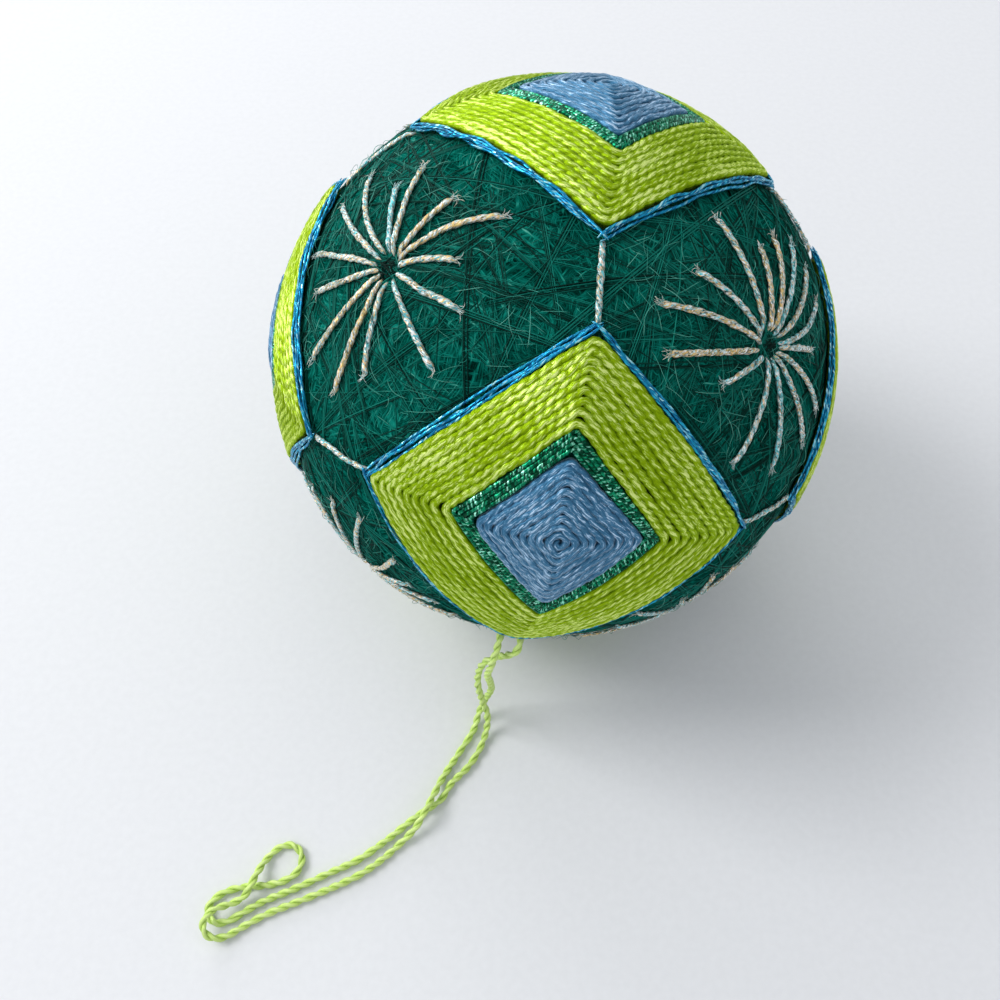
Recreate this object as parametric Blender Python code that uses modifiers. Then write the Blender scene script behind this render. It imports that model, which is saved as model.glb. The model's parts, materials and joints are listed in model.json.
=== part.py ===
"""A temari: a thread-wound ball stitched with six nested squares, eight starbursts and twelve
guide lines, with a thin twisted hanging loop. Metres, +Z up, origin under the ball on its flat spot."""

import math

import bmesh
import bpy
from mathutils import Euler, Vector

MM = 0.001

# The ball, as radii from its centre.
BALL_RADIUS = 36.2 * MM
THREAD_RADIUS = 37.6 * MM
CENTRE_HEIGHT = 37.36 * MM
GAP = 0.3 * MM

# How the ball lies: its top square leans away from +Z.
LEAN_DEG = (-22.5, 6.9, -4.7)

# A stitched square, by the angle from its middle out to a corner.
OUTLINE_REACH_DEG = 36.8
FRAME_REACH_DEG = 19.4
MIDDLE_REACH_DEG = 15.6

ROW_DEPTH = 0.16 * MM
MIDDLE_CROWN = 0.55 * MM
LIME_ROWS = 9
FRAME_ROWS = 2
MIDDLE_ROWS = 8
OUTLINE_WIDTH = 1.1 * MM
# A band's underside clears the ball, and each step along a side dips a little below its ends.
BAND_FLOOR = BALL_RADIUS + GAP + 0.16 * MM
LIME_STEPS = 5
FRAME_STEPS = 3
MIDDLE_STEPS = 2

GUIDE_WIDTH = 0.6 * MM
GUIDE_POINTS = 4
# The outline's mitred corner reaches this many times further than its straight sides.
CORNER_MITRE = 1.9
# A guide line's straight steps dip this far between their ends.
GUIDE_DIP = 0.03 * MM

# A starburst's stitches, from the open eye in its middle outward.
EYE_RADIUS = 1.0 * MM
HUB_RADIUS = 1.75 * MM
STITCH_THICKNESS = 0.6 * MM
STITCH_ROOT_WIDTH = 0.62 * MM
STITCH_BODY_WIDTH = 0.95 * MM
STITCH_TIP_WIDTH = 1.15 * MM
STITCH_LIFT = 0.4 * MM
SHORT_STITCH = 11.0 * MM

CORD_DIAMETER = 1.1 * MM
CORD_POINTS = 79
CORD_BEND_SHARE = 2.2 * MM

AXES = {
    "top": Vector((0, 0, 1)),
    "bottom": Vector((0, 0, -1)),
    "front": Vector((0, -1, 0)),
    "back": Vector((0, 1, 0)),
    "left": Vector((-1, 0, 0)),
    "right": Vector((1, 0, 0)),
}

# Each square's first corner points to this neighbour, and the others follow anticlockwise.
FIRST_CORNER = {
    "top": "back",
    "bottom": "front",
    "front": "top",
    "back": "top",
    "left": "top",
    "right": "top",
}

# Corners that the maker's hand moved, in degrees: how far out each line's corner lies, and how far
# it strays anticlockwise.
# square, toward: outline reach, stray, frame reach, stray, middle reach, stray
STRAY_CORNERS = {
    ("front", "top"): (37.5, -0.4, 20.0, 0.5, 15.8, 2.0),
    ("front", "left"): (36.8, 0.3, 18.6, -2.5, 14.3, -1.6),
    ("front", "right"): (37.2, -0.3, 18.3, 3.4, 14.6, 3.4),
    ("front", "bottom"): (38.5, -3.0, 21.4, 1.6, 17.4, 0.6),
    ("top", "front"): (37.8, 0.3, 20.2, 3.5, 16.1, 3.8),
    ("top", "left"): (35.8, 2.0, 20.0, 2.2, 16.2, 1.0),
    ("top", "right"): (35.8, -3.0, 19.6, 4.0, 16.2, 4.0),
    ("left", "front"): (38.0, -0.7, 19.8, 0.0, 15.8, 0.0),
    ("left", "top"): (36.6, -1.9, 19.4, -1.0, 15.6, -1.0),
    ("right", "front"): (35.5, 2.0, 19.0, 1.0, 15.3, 1.0),
    ("right", "top"): (37.8, 4.0, 19.8, 2.0, 15.8, 2.0),
}

# The starbursts sit where three squares meet. Each stitch: bearing anticlockwise from the top or
# bottom square (degrees), length from the star's middle (mm).
FRONT_LEFT_TOP_STITCHES = (
    (24, 13.2),
    (38, 10.6),
    (60, 15.3),
    (79, 15.0),
    (106, 13.7),
    (130, 11.0),
    (161, 14.9),
    (184, 15.2),
    (203, 12.0),
    (244, 13.9),
    (275, 11.6),
    (302, 9.2),
    (323, 14.7),
    (348, 10.5),
)
FRONT_RIGHT_TOP_STITCHES = (
    (6, 15.2),
    (37, 12.5),
    (59, 15.1),
    (80, 13.9),
    (106, 8.2),
    (149, 13.9),
    (180, 14.7),
    (207, 15.4),
    (225, 14.8),
    (253, 9.0),
    (281, 13.8),
    (297, 14.8),
    (312, 15.0),
    (328, 13.4),
    (343, 11.2),
)
FRONT_LEFT_BOTTOM_STITCHES = (
    (22, 12.6),
    (50, 11.4),
    (78, 14.2),
    (96, 12.4),
    (113, 10.2),
    (137, 12.8),
    (163, 15.2),
    (184, 13.7),
    (214, 13.4),
    (236, 14.6),
    (262, 11.2),
    (288, 14.4),
    (315, 12.0),
    (340, 15.0),
)
FRONT_RIGHT_BOTTOM_STITCHES = (
    (14, 13.0),
    (38, 15.0),
    (66, 11.6),
    (92, 14.2),
    (118, 12.6),
    (146, 12.4),
    (172, 11.0),
    (198, 12.8),
    (220, 9.4),
    (246, 13.6),
    (270, 11.8),
    (296, 14.8),
    (322, 12.2),
    (348, 14.4),
)
HIDDEN_STAR_STITCHES = 14
HIDDEN_STAR_LENGTHS_MM = (14.6, 11.2, 13.4, 15.2, 12.2)

# How far a starburst's middle strays from the point between its squares, toward each axis.
STAR_MIDDLES = {
    "front_left_top": (-0.613, -0.541, 0.576),
    "front_right_top": (0.570, -0.619, 0.540),
    "front_left_bottom": (-0.577, -0.577, -0.577),
    "front_right_bottom": (0.577, -0.577, -0.577),
    "back_left_top": (-0.560, 0.590, 0.582),
    "back_right_top": (0.590, 0.560, 0.582),
    "back_left_bottom": (-0.585, 0.570, -0.577),
    "back_right_bottom": (0.570, 0.590, -0.572),
}
STAR_STITCHES = {
    "front_left_top": FRONT_LEFT_TOP_STITCHES,
    "front_right_top": FRONT_RIGHT_TOP_STITCHES,
    "front_left_bottom": FRONT_LEFT_BOTTOM_STITCHES,
    "front_right_bottom": FRONT_RIGHT_BOTTOM_STITCHES,
}

# The hanging loop's route, in millimetres: x, y, z. It leaves the front square's bottom corner,
# drops to the table, runs out to a fold, curls, folds again and comes back beside itself.
CORD_ROUTE_MM = (
    (-6.8, -34.0, 25.9),
    (-7.3, -35.8, 24.9),
    (-8.1, -37.0, 21.5),
    (-8.7, -37.0, 17.5),
    (-8.4, -36.3, 12.5),
    (-8.3, -35.8, 8.0),
    (-9.2, -35.9, 4.0),
    (-10.2, -37.2, 1.5),
    (-11.0, -39.6, 0.6),
    (-13.0, -42.9, 0.6),
    (-15.2, -46.4, 0.6),
    (-16.4, -49.0, 1.5),
    (-17.6, -51.7, 2.2),
    (-19.1, -54.1, 1.5),
    (-21.4, -56.2, 0.6),
    (-23.8, -58.3, 0.6),
    (-26.5, -60.1, 0.6),
    (-30.1, -61.8, 0.6),
    (-34.6, -63.6, 0.6),
    (-39.0, -65.3, 0.6),
    (-42.4, -67.1, 0.6),
    (-44.2, -68.2, 0.9),
    (-45.9, -68.4, 1.5),
    (-47.0, -67.5, 2.1),
    (-46.9, -66.0, 2.5),
    (-45.6, -64.8, 2.2),
    (-43.7, -64.0, 1.3),
    (-42.2, -63.1, 1.5),
    (-41.3, -61.7, 2.1),
    (-40.6, -59.7, 1.4),
    (-39.6, -57.8, 0.6),
    (-38.0, -56.4, 0.6),
    (-36.1, -56.3, 0.6),
    (-34.9, -57.8, 0.6),
    (-35.4, -59.8, 0.6),
    (-37.4, -61.1, 0.6),
    (-40.0, -61.6, 0.6),
    (-42.6, -61.8, 0.6),
    (-45.2, -62.5, 0.6),
    (-46.9, -63.9, 0.6),
    (-47.0, -65.5, 0.6),
    (-45.8, -66.4, 0.6),
    (-44.2, -66.2, 0.6),
    (-42.4, -65.2, 0.6),
    (-39.5, -63.6, 0.6),
    (-35.5, -62.0, 0.6),
    (-31.0, -60.0, 0.6),
    (-27.0, -58.2, 0.6),
    (-24.2, -56.3, 0.6),
    (-22.2, -54.8, 0.6),
    (-20.1, -53.1, 0.6),
    (-17.8, -51.4, 0.6),
    (-15.6, -49.9, 0.6),
    (-14.0, -47.4, 0.6),
    (-11.8, -45.2, 0.6),
    (-10.1, -42.6, 0.6),
    (-9.1, -40.0, 1.2),
    (-8.9, -38.2, 3.4),
    (-9.6, -37.3, 7.5),
    (-10.2, -36.2, 12.0),
    (-9.6, -35.4, 16.5),
    (-7.8, -35.5, 20.0),
    (-5.4, -36.3, 23.3),
    (-4.5, -35.9, 25.0),
    (-4.3, -34.35, 25.7),
)

# Edges sharper than this stay crisp: the rows' valleys, and only the outline's corners.
ROW_SHARP_DEG = 30.0
OUTLINE_SHARP_DEG = 80.0

# name: base colour (linear), roughness, metallic
FINISHES = {
    "ground_thread": ((0.008, 0.105, 0.078), 0.85, 0.0),
    "lime_thread": ((0.400, 0.560, 0.020), 0.60, 0.0),
    "frame_thread": ((0.010, 0.130, 0.065), 0.35, 0.6),
    "blue_thread": ((0.130, 0.250, 0.480), 0.65, 0.0),
    "outline_thread": ((0.010, 0.170, 0.380), 0.35, 0.6),
    "white_braid": ((0.640, 0.600, 0.520), 0.45, 0.3),
    "loop_cord": ((0.380, 0.540, 0.020), 0.60, 0.0),
}


def clear_scene():
    for obj in list(bpy.data.objects):
        bpy.data.objects.remove(obj, do_unlink=True)


def new_collection(name):
    collection = bpy.data.collections.new(name)
    bpy.context.scene.collection.children.link(collection)
    return collection


def finish_material(name):
    """The Principled material of one thread."""
    material = bpy.data.materials.get(name)
    if material:
        return material
    colour, roughness, metallic = FINISHES[name]
    material = bpy.data.materials.new(name)
    material.use_nodes = True
    shader = material.node_tree.nodes["Principled BSDF"]
    shader.inputs["Base Color"].default_value = (*colour, 1.0)
    shader.inputs["Roughness"].default_value = roughness
    shader.inputs["Metallic"].default_value = metallic
    material.diffuse_color = (*colour, 1.0)
    return material


def add_mesh_object(name, bm, finish, collection, sharp_deg=ROW_SHARP_DEG):
    """Turns a bmesh into a named object with its faces out and its round parts smooth."""
    bmesh.ops.recalc_face_normals(bm, faces=bm.faces)
    mesh = bpy.data.meshes.new(name)
    bm.to_mesh(mesh)
    bm.free()
    mesh.shade_smooth()
    mesh.set_sharp_from_angle(angle=math.radians(sharp_deg))
    mesh.materials.append(finish_material(finish))
    obj = bpy.data.objects.new(name, mesh)
    collection.objects.link(obj)
    return obj


LEAN = Euler([math.radians(d) for d in LEAN_DEG], "XYZ").to_matrix()
BALL_CENTRE = Vector((0, 0, CENTRE_HEIGHT))


def on_ball(direction, radius):
    """A point at this radius, for a direction in the ball's own frame."""
    return BALL_CENTRE + LEAN @ (direction.normalized() * radius)


def flat_frame(axis, toward):
    """Two directions across an axis: the first toward a second axis, the next anticlockwise of it."""
    along = (toward - axis * toward.dot(axis)).normalized()
    return along, axis.cross(along)


class Square:
    """One stitched square, laid out on the plane that touches the ball at its middle."""

    def __init__(self, name):
        self.name = name
        self.axis = AXES[name]
        self.along, self.across = flat_frame(self.axis, AXES[FIRST_CORNER[name]])
        rows = [self.corner_row(k) for k in range(4)]
        self.outline = [self.corner(k, row[0], row[1]) for k, row in enumerate(rows)]
        self.frame = [self.corner(k, row[2], row[3]) for k, row in enumerate(rows)]
        self.middle = [self.corner(k, row[4], row[5]) for k, row in enumerate(rows)]

    def neighbour(self, k):
        turn = math.radians(90 * k)
        toward = self.along * math.cos(turn) + self.across * math.sin(turn)
        return max(AXES, key=lambda other: AXES[other].dot(toward))

    def corner_row(self, k):
        even = (OUTLINE_REACH_DEG, 0, FRAME_REACH_DEG, 0, MIDDLE_REACH_DEG, 0)
        return STRAY_CORNERS.get((self.name, self.neighbour(k)), even)

    def corner(self, k, reach_deg, stray_deg):
        reach = math.tan(math.radians(reach_deg))
        turn = math.radians(90 * k + stray_deg)
        return Vector((reach * math.cos(turn), reach * math.sin(turn)))

    def direction(self, spot):
        return self.axis + self.along * spot.x + self.across * spot.y


def inset(corners, distance):
    """The same outline with each side moved inward, in the flat layout's units."""
    moved = []
    for k, corner in enumerate(corners):
        before = (corner - corners[k - 1]).normalized()
        after = (corners[(k + 1) % 4] - corner).normalized()
        in_before = Vector((-before.y, before.x))
        in_after = Vector((-after.y, after.x))
        bisector = (in_before + in_after).normalized()
        moved.append(corner + bisector * (distance / bisector.dot(in_before)))
    return moved


def blend(inner, outer, share):
    return [a.lerp(b, share) for a, b in zip(inner, outer)]


def around(corners, steps):
    """Points along the four sides, each side in equal steps from its corner."""
    return [
        corners[k].lerp(corners[(k + 1) % 4], step / steps)
        for k in range(4)
        for step in range(steps)
    ]


def close_band(square, lines, steps):
    """A closed ring through lines of (corners, radius), joined in order and back to the first."""
    bm = bmesh.new()
    loops = [
        [bm.verts.new(on_ball(square.direction(spot), radius)) for spot in around(corners, steps)]
        for corners, radius in lines
    ]
    count = len(loops[0])
    for i, loop in enumerate(loops):
        following = loops[(i + 1) % len(loops)]
        for j in range(count):
            k = (j + 1) % count
            bm.faces.new((loop[j], loop[k], following[k], following[j]))
    return bm


def row_lines(inner, outer, rows, crest_radius):
    """Lines across a band of stitched rows: valleys at the rows' edges, crests along their middles."""
    lines = []
    for i in range(2 * rows + 1):
        share = i / (2 * rows)
        lift = 0 if i % 2 else -ROW_DEPTH
        lines.append((blend(inner, outer, share), crest_radius(share) + lift))
    return lines


# A square's flat layout stretches lengths, by this much at the outline and this much at its corners.
FLAT_GAP = GAP / BALL_RADIUS
OUTLINE_SPREAD = 1.35
FLAT_SPREAD = 1.6


def add_lime_band(square, collection):
    outer = inset(square.outline, (OUTLINE_WIDTH / 2 / BALL_RADIUS + FLAT_GAP) * FLAT_SPREAD)
    inner = inset(square.frame, -FLAT_GAP * FLAT_SPREAD / 2)
    lines = row_lines(inner, outer, LIME_ROWS, lambda share: THREAD_RADIUS)
    lines += [(blend(outer, inner, share), BAND_FLOOR) for share in (0, 0.5, 1)]
    bm = close_band(square, lines, LIME_STEPS)
    return add_mesh_object(f"lime_band_{square.name}", bm, "lime_thread", collection)


def add_frame(square, collection):
    outer = inset(square.frame, FLAT_GAP * FLAT_SPREAD / 2)
    inner = inset(square.middle, -FLAT_GAP * FLAT_SPREAD / 2)
    lines = row_lines(inner, outer, FRAME_ROWS, lambda share: THREAD_RADIUS)
    lines += [(outer, BAND_FLOOR), (inner, BAND_FLOOR)]
    bm = close_band(square, lines, FRAME_STEPS)
    return add_mesh_object(f"green_frame_{square.name}", bm, "frame_thread", collection)


def add_middle(square, collection):
    """The blue square, crowned toward its middle, where its rows close on one point."""
    outer = inset(square.middle, FLAT_GAP * FLAT_SPREAD / 2)
    heart = [sum(outer, Vector((0, 0))) / 4] * 4

    def crown(share):
        return THREAD_RADIUS + MIDDLE_CROWN * (1 - share * share)

    lines = row_lines(heart, outer, MIDDLE_ROWS, crown)[1:]
    lines += [(blend(outer, heart, share), BAND_FLOOR) for share in (0, 0.5)]
    bm = bmesh.new()
    loops = [
        [
            bm.verts.new(on_ball(square.direction(spot), radius))
            for spot in around(corners, MIDDLE_STEPS)
        ]
        for corners, radius in lines
    ]
    peak = bm.verts.new(on_ball(square.direction(heart[0]), crown(0) - ROW_DEPTH))
    under = bm.verts.new(on_ball(square.direction(heart[0]), BAND_FLOOR))
    count = len(loops[0])
    for j in range(count):
        k = (j + 1) % count
        bm.faces.new((peak, loops[0][j], loops[0][k]))
        bm.faces.new((under, loops[-1][k], loops[-1][j]))
        for near, far in zip(loops, loops[1:]):
            bm.faces.new((near[j], far[j], far[k], near[k]))
    return add_mesh_object(f"blue_middle_{square.name}", bm, "blue_thread", collection)


def add_outline(square, collection):
    """The twisted metallic line round the square, a six-sided closed tube."""
    half = OUTLINE_WIDTH / 2
    middle_radius = BAND_FLOOR + half
    lines = []
    for side in range(6):
        turn = math.radians(60 * side)
        across = half * math.cos(turn) / BALL_RADIUS * OUTLINE_SPREAD
        lines.append((inset(square.outline, across), middle_radius + half * math.sin(turn)))
    bm = close_band(square, lines, LIME_STEPS)
    name = f"blue_outline_{square.name}"
    return add_mesh_object(name, bm, "outline_thread", collection, OUTLINE_SHARP_DEG)


def add_tube(name, points, diameter, finish, collection, resolution):
    """A curve object with filled caps through these points."""
    curve = bpy.data.curves.new(name, "CURVE")
    curve.dimensions = "3D"
    curve.bevel_depth = diameter / 2
    curve.bevel_resolution = resolution
    curve.use_fill_caps = True
    spline = curve.splines.new("POLY")
    spline.points.add(len(points) - 1)
    for point, place in zip(spline.points, points):
        point.co = (*place, 1.0)
    spline.use_smooth = True
    curve.materials.append(finish_material(finish))
    obj = bpy.data.objects.new(name, curve)
    collection.objects.link(obj)
    return obj


def add_guide_line(first, second, collection):
    """The short braid between two squares' facing corners."""
    ends = []
    for square, other in ((first, second), (second, first)):
        k = next(k for k in range(4) if square.neighbour(k) == other.name)
        ends.append(square.direction(square.outline[k]).normalized())
    margin = (OUTLINE_WIDTH / 2 + 2 * GAP) / BALL_RADIUS * CORNER_MITRE
    whole = ends[0].angle(ends[1])
    start = ends[0].slerp(ends[1], margin / whole)
    stop = ends[1].slerp(ends[0], margin / whole)
    lie = BALL_RADIUS + GAP + GUIDE_WIDTH / 2 + GUIDE_DIP
    points = [on_ball(start.slerp(stop, i / (GUIDE_POINTS - 1)), lie) for i in range(GUIDE_POINTS)]
    name = f"guide_{first.name}_{second.name}"
    return add_tube(name, points, GUIDE_WIDTH, "white_braid", collection, resolution=1)


def star_rows(name):
    if name in STAR_STITCHES:
        return STAR_STITCHES[name]
    step = 360 / HIDDEN_STAR_STITCHES
    lengths = HIDDEN_STAR_LENGTHS_MM
    return [(i * step, lengths[i % len(lengths)]) for i in range(HIDDEN_STAR_STITCHES)]


def stitch_width(step, steps):
    """A stitch is pinched where it dives into the star's eye and spread where its end frays."""
    if step == 0:
        return STITCH_ROOT_WIDTH
    if step == steps:
        return STITCH_TIP_WIDTH
    return STITCH_BODY_WIDTH


def add_starburst(name, collection):
    """Straight stitches fanned out from an open eye: one sheet on the ball, given thickness."""
    middle = Vector(STAR_MIDDLES[name]).normalized()
    pole = AXES["top" if name.endswith("top") else "bottom"]
    along, across = flat_frame(middle, pole)
    rows = star_rows(name)
    step = 360 / len(rows)
    first_root = sum(bearing - i * step for i, (bearing, length) in enumerate(rows)) / len(rows)
    lie = BALL_RADIUS + STITCH_LIFT

    def spot(radius, turn_deg):
        turn = math.radians(turn_deg)
        out = along * math.cos(turn) + across * math.sin(turn)
        angle = radius / lie
        return middle * math.cos(angle) + out * math.sin(angle)

    bm = bmesh.new()
    roots = []
    for i, (bearing, length_mm) in enumerate(rows):
        root = spot(HUB_RADIUS, first_root + i * step)
        tip = spot(length_mm * MM, bearing)
        segments = 2 if length_mm * MM < SHORT_STITCH else 3
        side = root.cross(tip).normalized()
        pairs = []
        for j in range(segments + 1):
            half = side * (stitch_width(j, segments) / 2 / lie)
            here = root.slerp(tip, j / segments)
            pairs.append([bm.verts.new(on_ball(here + way, lie)) for way in (-half, half)])
        for near, far in zip(pairs, pairs[1:]):
            bm.faces.new((near[0], far[0], far[1], near[1]))
        roots.append(pairs[0])
    eye = []
    for i in range(len(rows)):
        eye.append(bm.verts.new(on_ball(spot(EYE_RADIUS, first_root + (i - 0.5) * step), lie)))
    for i, (right, left) in enumerate(roots):
        k = (i + 1) % len(rows)
        bm.faces.new((eye[i], right, left, eye[k]))
        bm.faces.new((eye[k], left, roots[k][0]))
    bmesh.ops.recalc_face_normals(bm, faces=bm.faces)
    bm.faces.ensure_lookup_table()
    outward = (bm.faces[0].calc_center_median() - BALL_CENTRE).dot(bm.faces[0].normal)
    if outward < 0:
        bmesh.ops.reverse_faces(bm, faces=bm.faces)
    mesh = bpy.data.meshes.new(f"starburst_{name}")
    bm.to_mesh(mesh)
    bm.free()
    mesh.materials.append(finish_material("white_braid"))
    obj = bpy.data.objects.new(f"starburst_{name}", mesh)
    collection.objects.link(obj)
    solid = obj.modifiers.new("Thickness", "SOLIDIFY")
    solid.thickness = STITCH_THICKNESS
    solid.offset = 1.0
    solid.use_even_offset = False
    return obj


def smooth_route(points, substeps=24):
    """A dense line through every given point, turning smoothly at each (a Catmull-Rom curve)."""
    dense = []
    padded = [points[0] * 2 - points[1], *points, points[-1] * 2 - points[-2]]
    for a, b, c, d in zip(padded, padded[1:], padded[2:], padded[3:]):
        square_term = a * 2 - b * 5 + c * 4 - d
        cube_term = b * 3 - a - c * 3 + d
        for i in range(substeps):
            t = i / substeps
            dense.append(b + ((c - a) + (square_term + cube_term * t) * t) * (t / 2))
    dense.append(points[-1])
    return dense


def spaced_points(dense, count):
    """Picks points along a dense line, closer together where it bends."""
    run = [0.0]
    for i in range(1, len(dense)):
        step = dense[i] - dense[i - 1]
        turn = 0.0
        if i + 1 < len(dense):
            turn = step.angle(dense[i + 1] - dense[i])
        run.append(run[-1] + step.length + CORD_BEND_SHARE * turn)
    picked = []
    i = 0
    for n in range(count):
        wanted = run[-1] * n / (count - 1)
        while i < len(run) - 2 and run[i + 1] < wanted:
            i += 1
        share = (wanted - run[i]) / max(run[i + 1] - run[i], 1e-12)
        picked.append(dense[i].lerp(dense[i + 1], min(share, 1.0)))
    return picked


def add_hanging_loop(collection):
    route = [Vector(place) * MM for place in CORD_ROUTE_MM]
    points = spaced_points(smooth_route(route), CORD_POINTS)
    lowest = CORD_DIAMETER / 2
    points = [Vector((p.x, p.y, max(p.z, lowest))) for p in points]
    return add_tube("hanging_loop", points, CORD_DIAMETER, "loop_cord", collection, resolution=2)


def add_wound_ball(collection):
    bpy.ops.mesh.primitive_ico_sphere_add(subdivisions=4, radius=BALL_RADIUS, location=BALL_CENTRE)
    ball = bpy.context.object
    ball.name = "wound_ball"
    ball.data.shade_smooth()
    ball.data.materials.append(finish_material("ground_thread"))
    for holder in list(ball.users_collection):
        holder.objects.unlink(ball)
    collection.objects.link(ball)
    return ball


def press_flat_spot(band, cutters):
    """Cuts the bottom band flat where the ball rests."""
    size = 2 * BALL_RADIUS
    bpy.ops.mesh.primitive_cube_add(size=size, location=(0, 0, -size / 2))
    table = bpy.context.object
    table.name = "rest_plane_cutter"
    table.hide_render = True
    table.display_type = "WIRE"
    for holder in list(table.users_collection):
        holder.objects.unlink(table)
    cutters.objects.link(table)
    cut = band.modifiers.new("Flat spot", "BOOLEAN")
    cut.operation = "DIFFERENCE"
    cut.solver = "EXACT"
    cut.object = table


def main():
    clear_scene()
    parts = new_collection("temari_ball")
    cutters = new_collection("cutters")
    add_wound_ball(parts)
    squares = {name: Square(name) for name in AXES}
    for square in squares.values():
        add_middle(square, parts)
        add_frame(square, parts)
        band = add_lime_band(square, parts)
        add_outline(square, parts)
        if square.name == "bottom":
            press_flat_spot(band, cutters)
    names = list(squares)
    for i, first in enumerate(names):
        for second in names[i + 1 :]:
            if AXES[first].dot(AXES[second]) == 0:
                add_guide_line(squares[first], squares[second], parts)
    for name in STAR_MIDDLES:
        add_starburst(name, parts)
    add_hanging_loop(parts)


main()
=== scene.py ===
"""Looks of a temari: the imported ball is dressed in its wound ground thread, stitched rows of
cotton, metallic lines, starbursts and hanging loop. Metres, +Z up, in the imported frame's place."""

import json
import math

import bpy
import numpy as np
from bpy.props import FloatProperty, FloatVectorProperty, IntProperty, PointerProperty
from mathutils import Euler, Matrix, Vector

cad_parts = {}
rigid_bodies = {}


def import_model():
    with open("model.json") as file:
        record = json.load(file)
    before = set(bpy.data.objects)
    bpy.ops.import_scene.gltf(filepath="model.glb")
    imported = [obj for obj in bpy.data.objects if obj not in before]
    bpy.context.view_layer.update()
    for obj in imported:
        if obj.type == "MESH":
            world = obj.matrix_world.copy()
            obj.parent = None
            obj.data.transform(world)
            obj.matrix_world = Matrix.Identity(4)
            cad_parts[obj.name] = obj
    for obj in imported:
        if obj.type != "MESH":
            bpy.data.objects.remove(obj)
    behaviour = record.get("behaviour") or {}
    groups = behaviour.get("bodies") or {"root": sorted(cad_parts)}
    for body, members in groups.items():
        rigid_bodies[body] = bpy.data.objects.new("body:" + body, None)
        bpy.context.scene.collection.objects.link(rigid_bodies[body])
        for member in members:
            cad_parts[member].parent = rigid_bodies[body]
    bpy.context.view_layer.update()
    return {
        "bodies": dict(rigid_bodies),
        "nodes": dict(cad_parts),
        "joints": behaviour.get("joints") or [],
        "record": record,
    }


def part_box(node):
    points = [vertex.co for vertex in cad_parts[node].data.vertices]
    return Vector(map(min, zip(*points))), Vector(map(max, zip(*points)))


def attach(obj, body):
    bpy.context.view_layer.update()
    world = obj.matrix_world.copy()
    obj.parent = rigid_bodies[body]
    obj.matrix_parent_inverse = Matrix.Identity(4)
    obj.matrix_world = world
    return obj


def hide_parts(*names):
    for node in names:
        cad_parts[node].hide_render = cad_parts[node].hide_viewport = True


bl_info = {
    "name": "Temari ball looks",
    "version": (1, 0, 0),
    "blender": (4, 5, 0),
    "location": "View3D > Sidebar > Temari",
    "description": "Lays the threads of a stitched temari ball over its packed solids",
    "category": "Object",
}

MM = 0.001

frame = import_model()

# The ball's place and size come from its solid.
BALL_LOW, BALL_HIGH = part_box("wound_ball")
BALL_CENTRE = np.array((BALL_LOW + BALL_HIGH) / 2)
BALL_RADIUS = (BALL_HIGH.z - BALL_LOW.z) / 2
LEAN_DEG = (-22.5, 6.9, -4.7)
LEAN = np.array(Euler([math.radians(d) for d in LEAN_DEG], "XYZ").to_matrix())
THREAD_RADIUS = 37.6 * MM

AXES = {
    "top": np.array((0.0, 0.0, 1.0)),
    "bottom": np.array((0.0, 0.0, -1.0)),
    "front": np.array((0.0, -1.0, 0.0)),
    "back": np.array((0.0, 1.0, 0.0)),
    "left": np.array((-1.0, 0.0, 0.0)),
    "right": np.array((1.0, 0.0, 0.0)),
}

# Each square's first corner points to this neighbour, and the others follow anticlockwise.
FIRST_CORNER = {
    "top": "back",
    "bottom": "front",
    "front": "top",
    "back": "top",
    "left": "top",
    "right": "top",
}

# A stitched square, by the angle from its middle out to a corner.
OUTLINE_REACH_DEG = 36.8
FRAME_REACH_DEG = 19.4
MIDDLE_REACH_DEG = 15.6

# Corners that the maker's hand moved, in degrees: how far out each line's corner lies, and how far
# it strays anticlockwise.
# square, toward: outline reach, stray, frame reach, stray, middle reach, stray
STRAY_CORNERS = {
    ("front", "top"): (37.3, -1.5, 21.4, 0.2, 17.0, 0.5),
    ("front", "left"): (35.5, -1.7, 18.5, -6.0, 14.1, -5.1),
    ("front", "right"): (37.2, -0.3, 18.5, 3.9, 15.6, 7.7),
    ("front", "bottom"): (38.5, -3.0, 20.5, 2.2, 16.5, 3.8),
    ("top", "front"): (37.8, 0.3, 20.9, 5.6, 17.3, 5.3),
    ("top", "left"): (35.8, 2.0, 20.0, 2.2, 16.2, 1.0),
    ("top", "right"): (35.8, -3.0, 19.6, 4.0, 16.2, 4.0),
    ("left", "front"): (38.7, -0.3, 19.8, 0.0, 15.8, 0.0),
    ("left", "top"): (36.6, -1.9, 19.4, -1.0, 15.6, -1.0),
    ("right", "front"): (35.5, 2.0, 19.0, 1.0, 15.3, 1.0),
    ("right", "top"): (37.8, 4.0, 19.8, 2.0, 15.8, 2.0),
}

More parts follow.
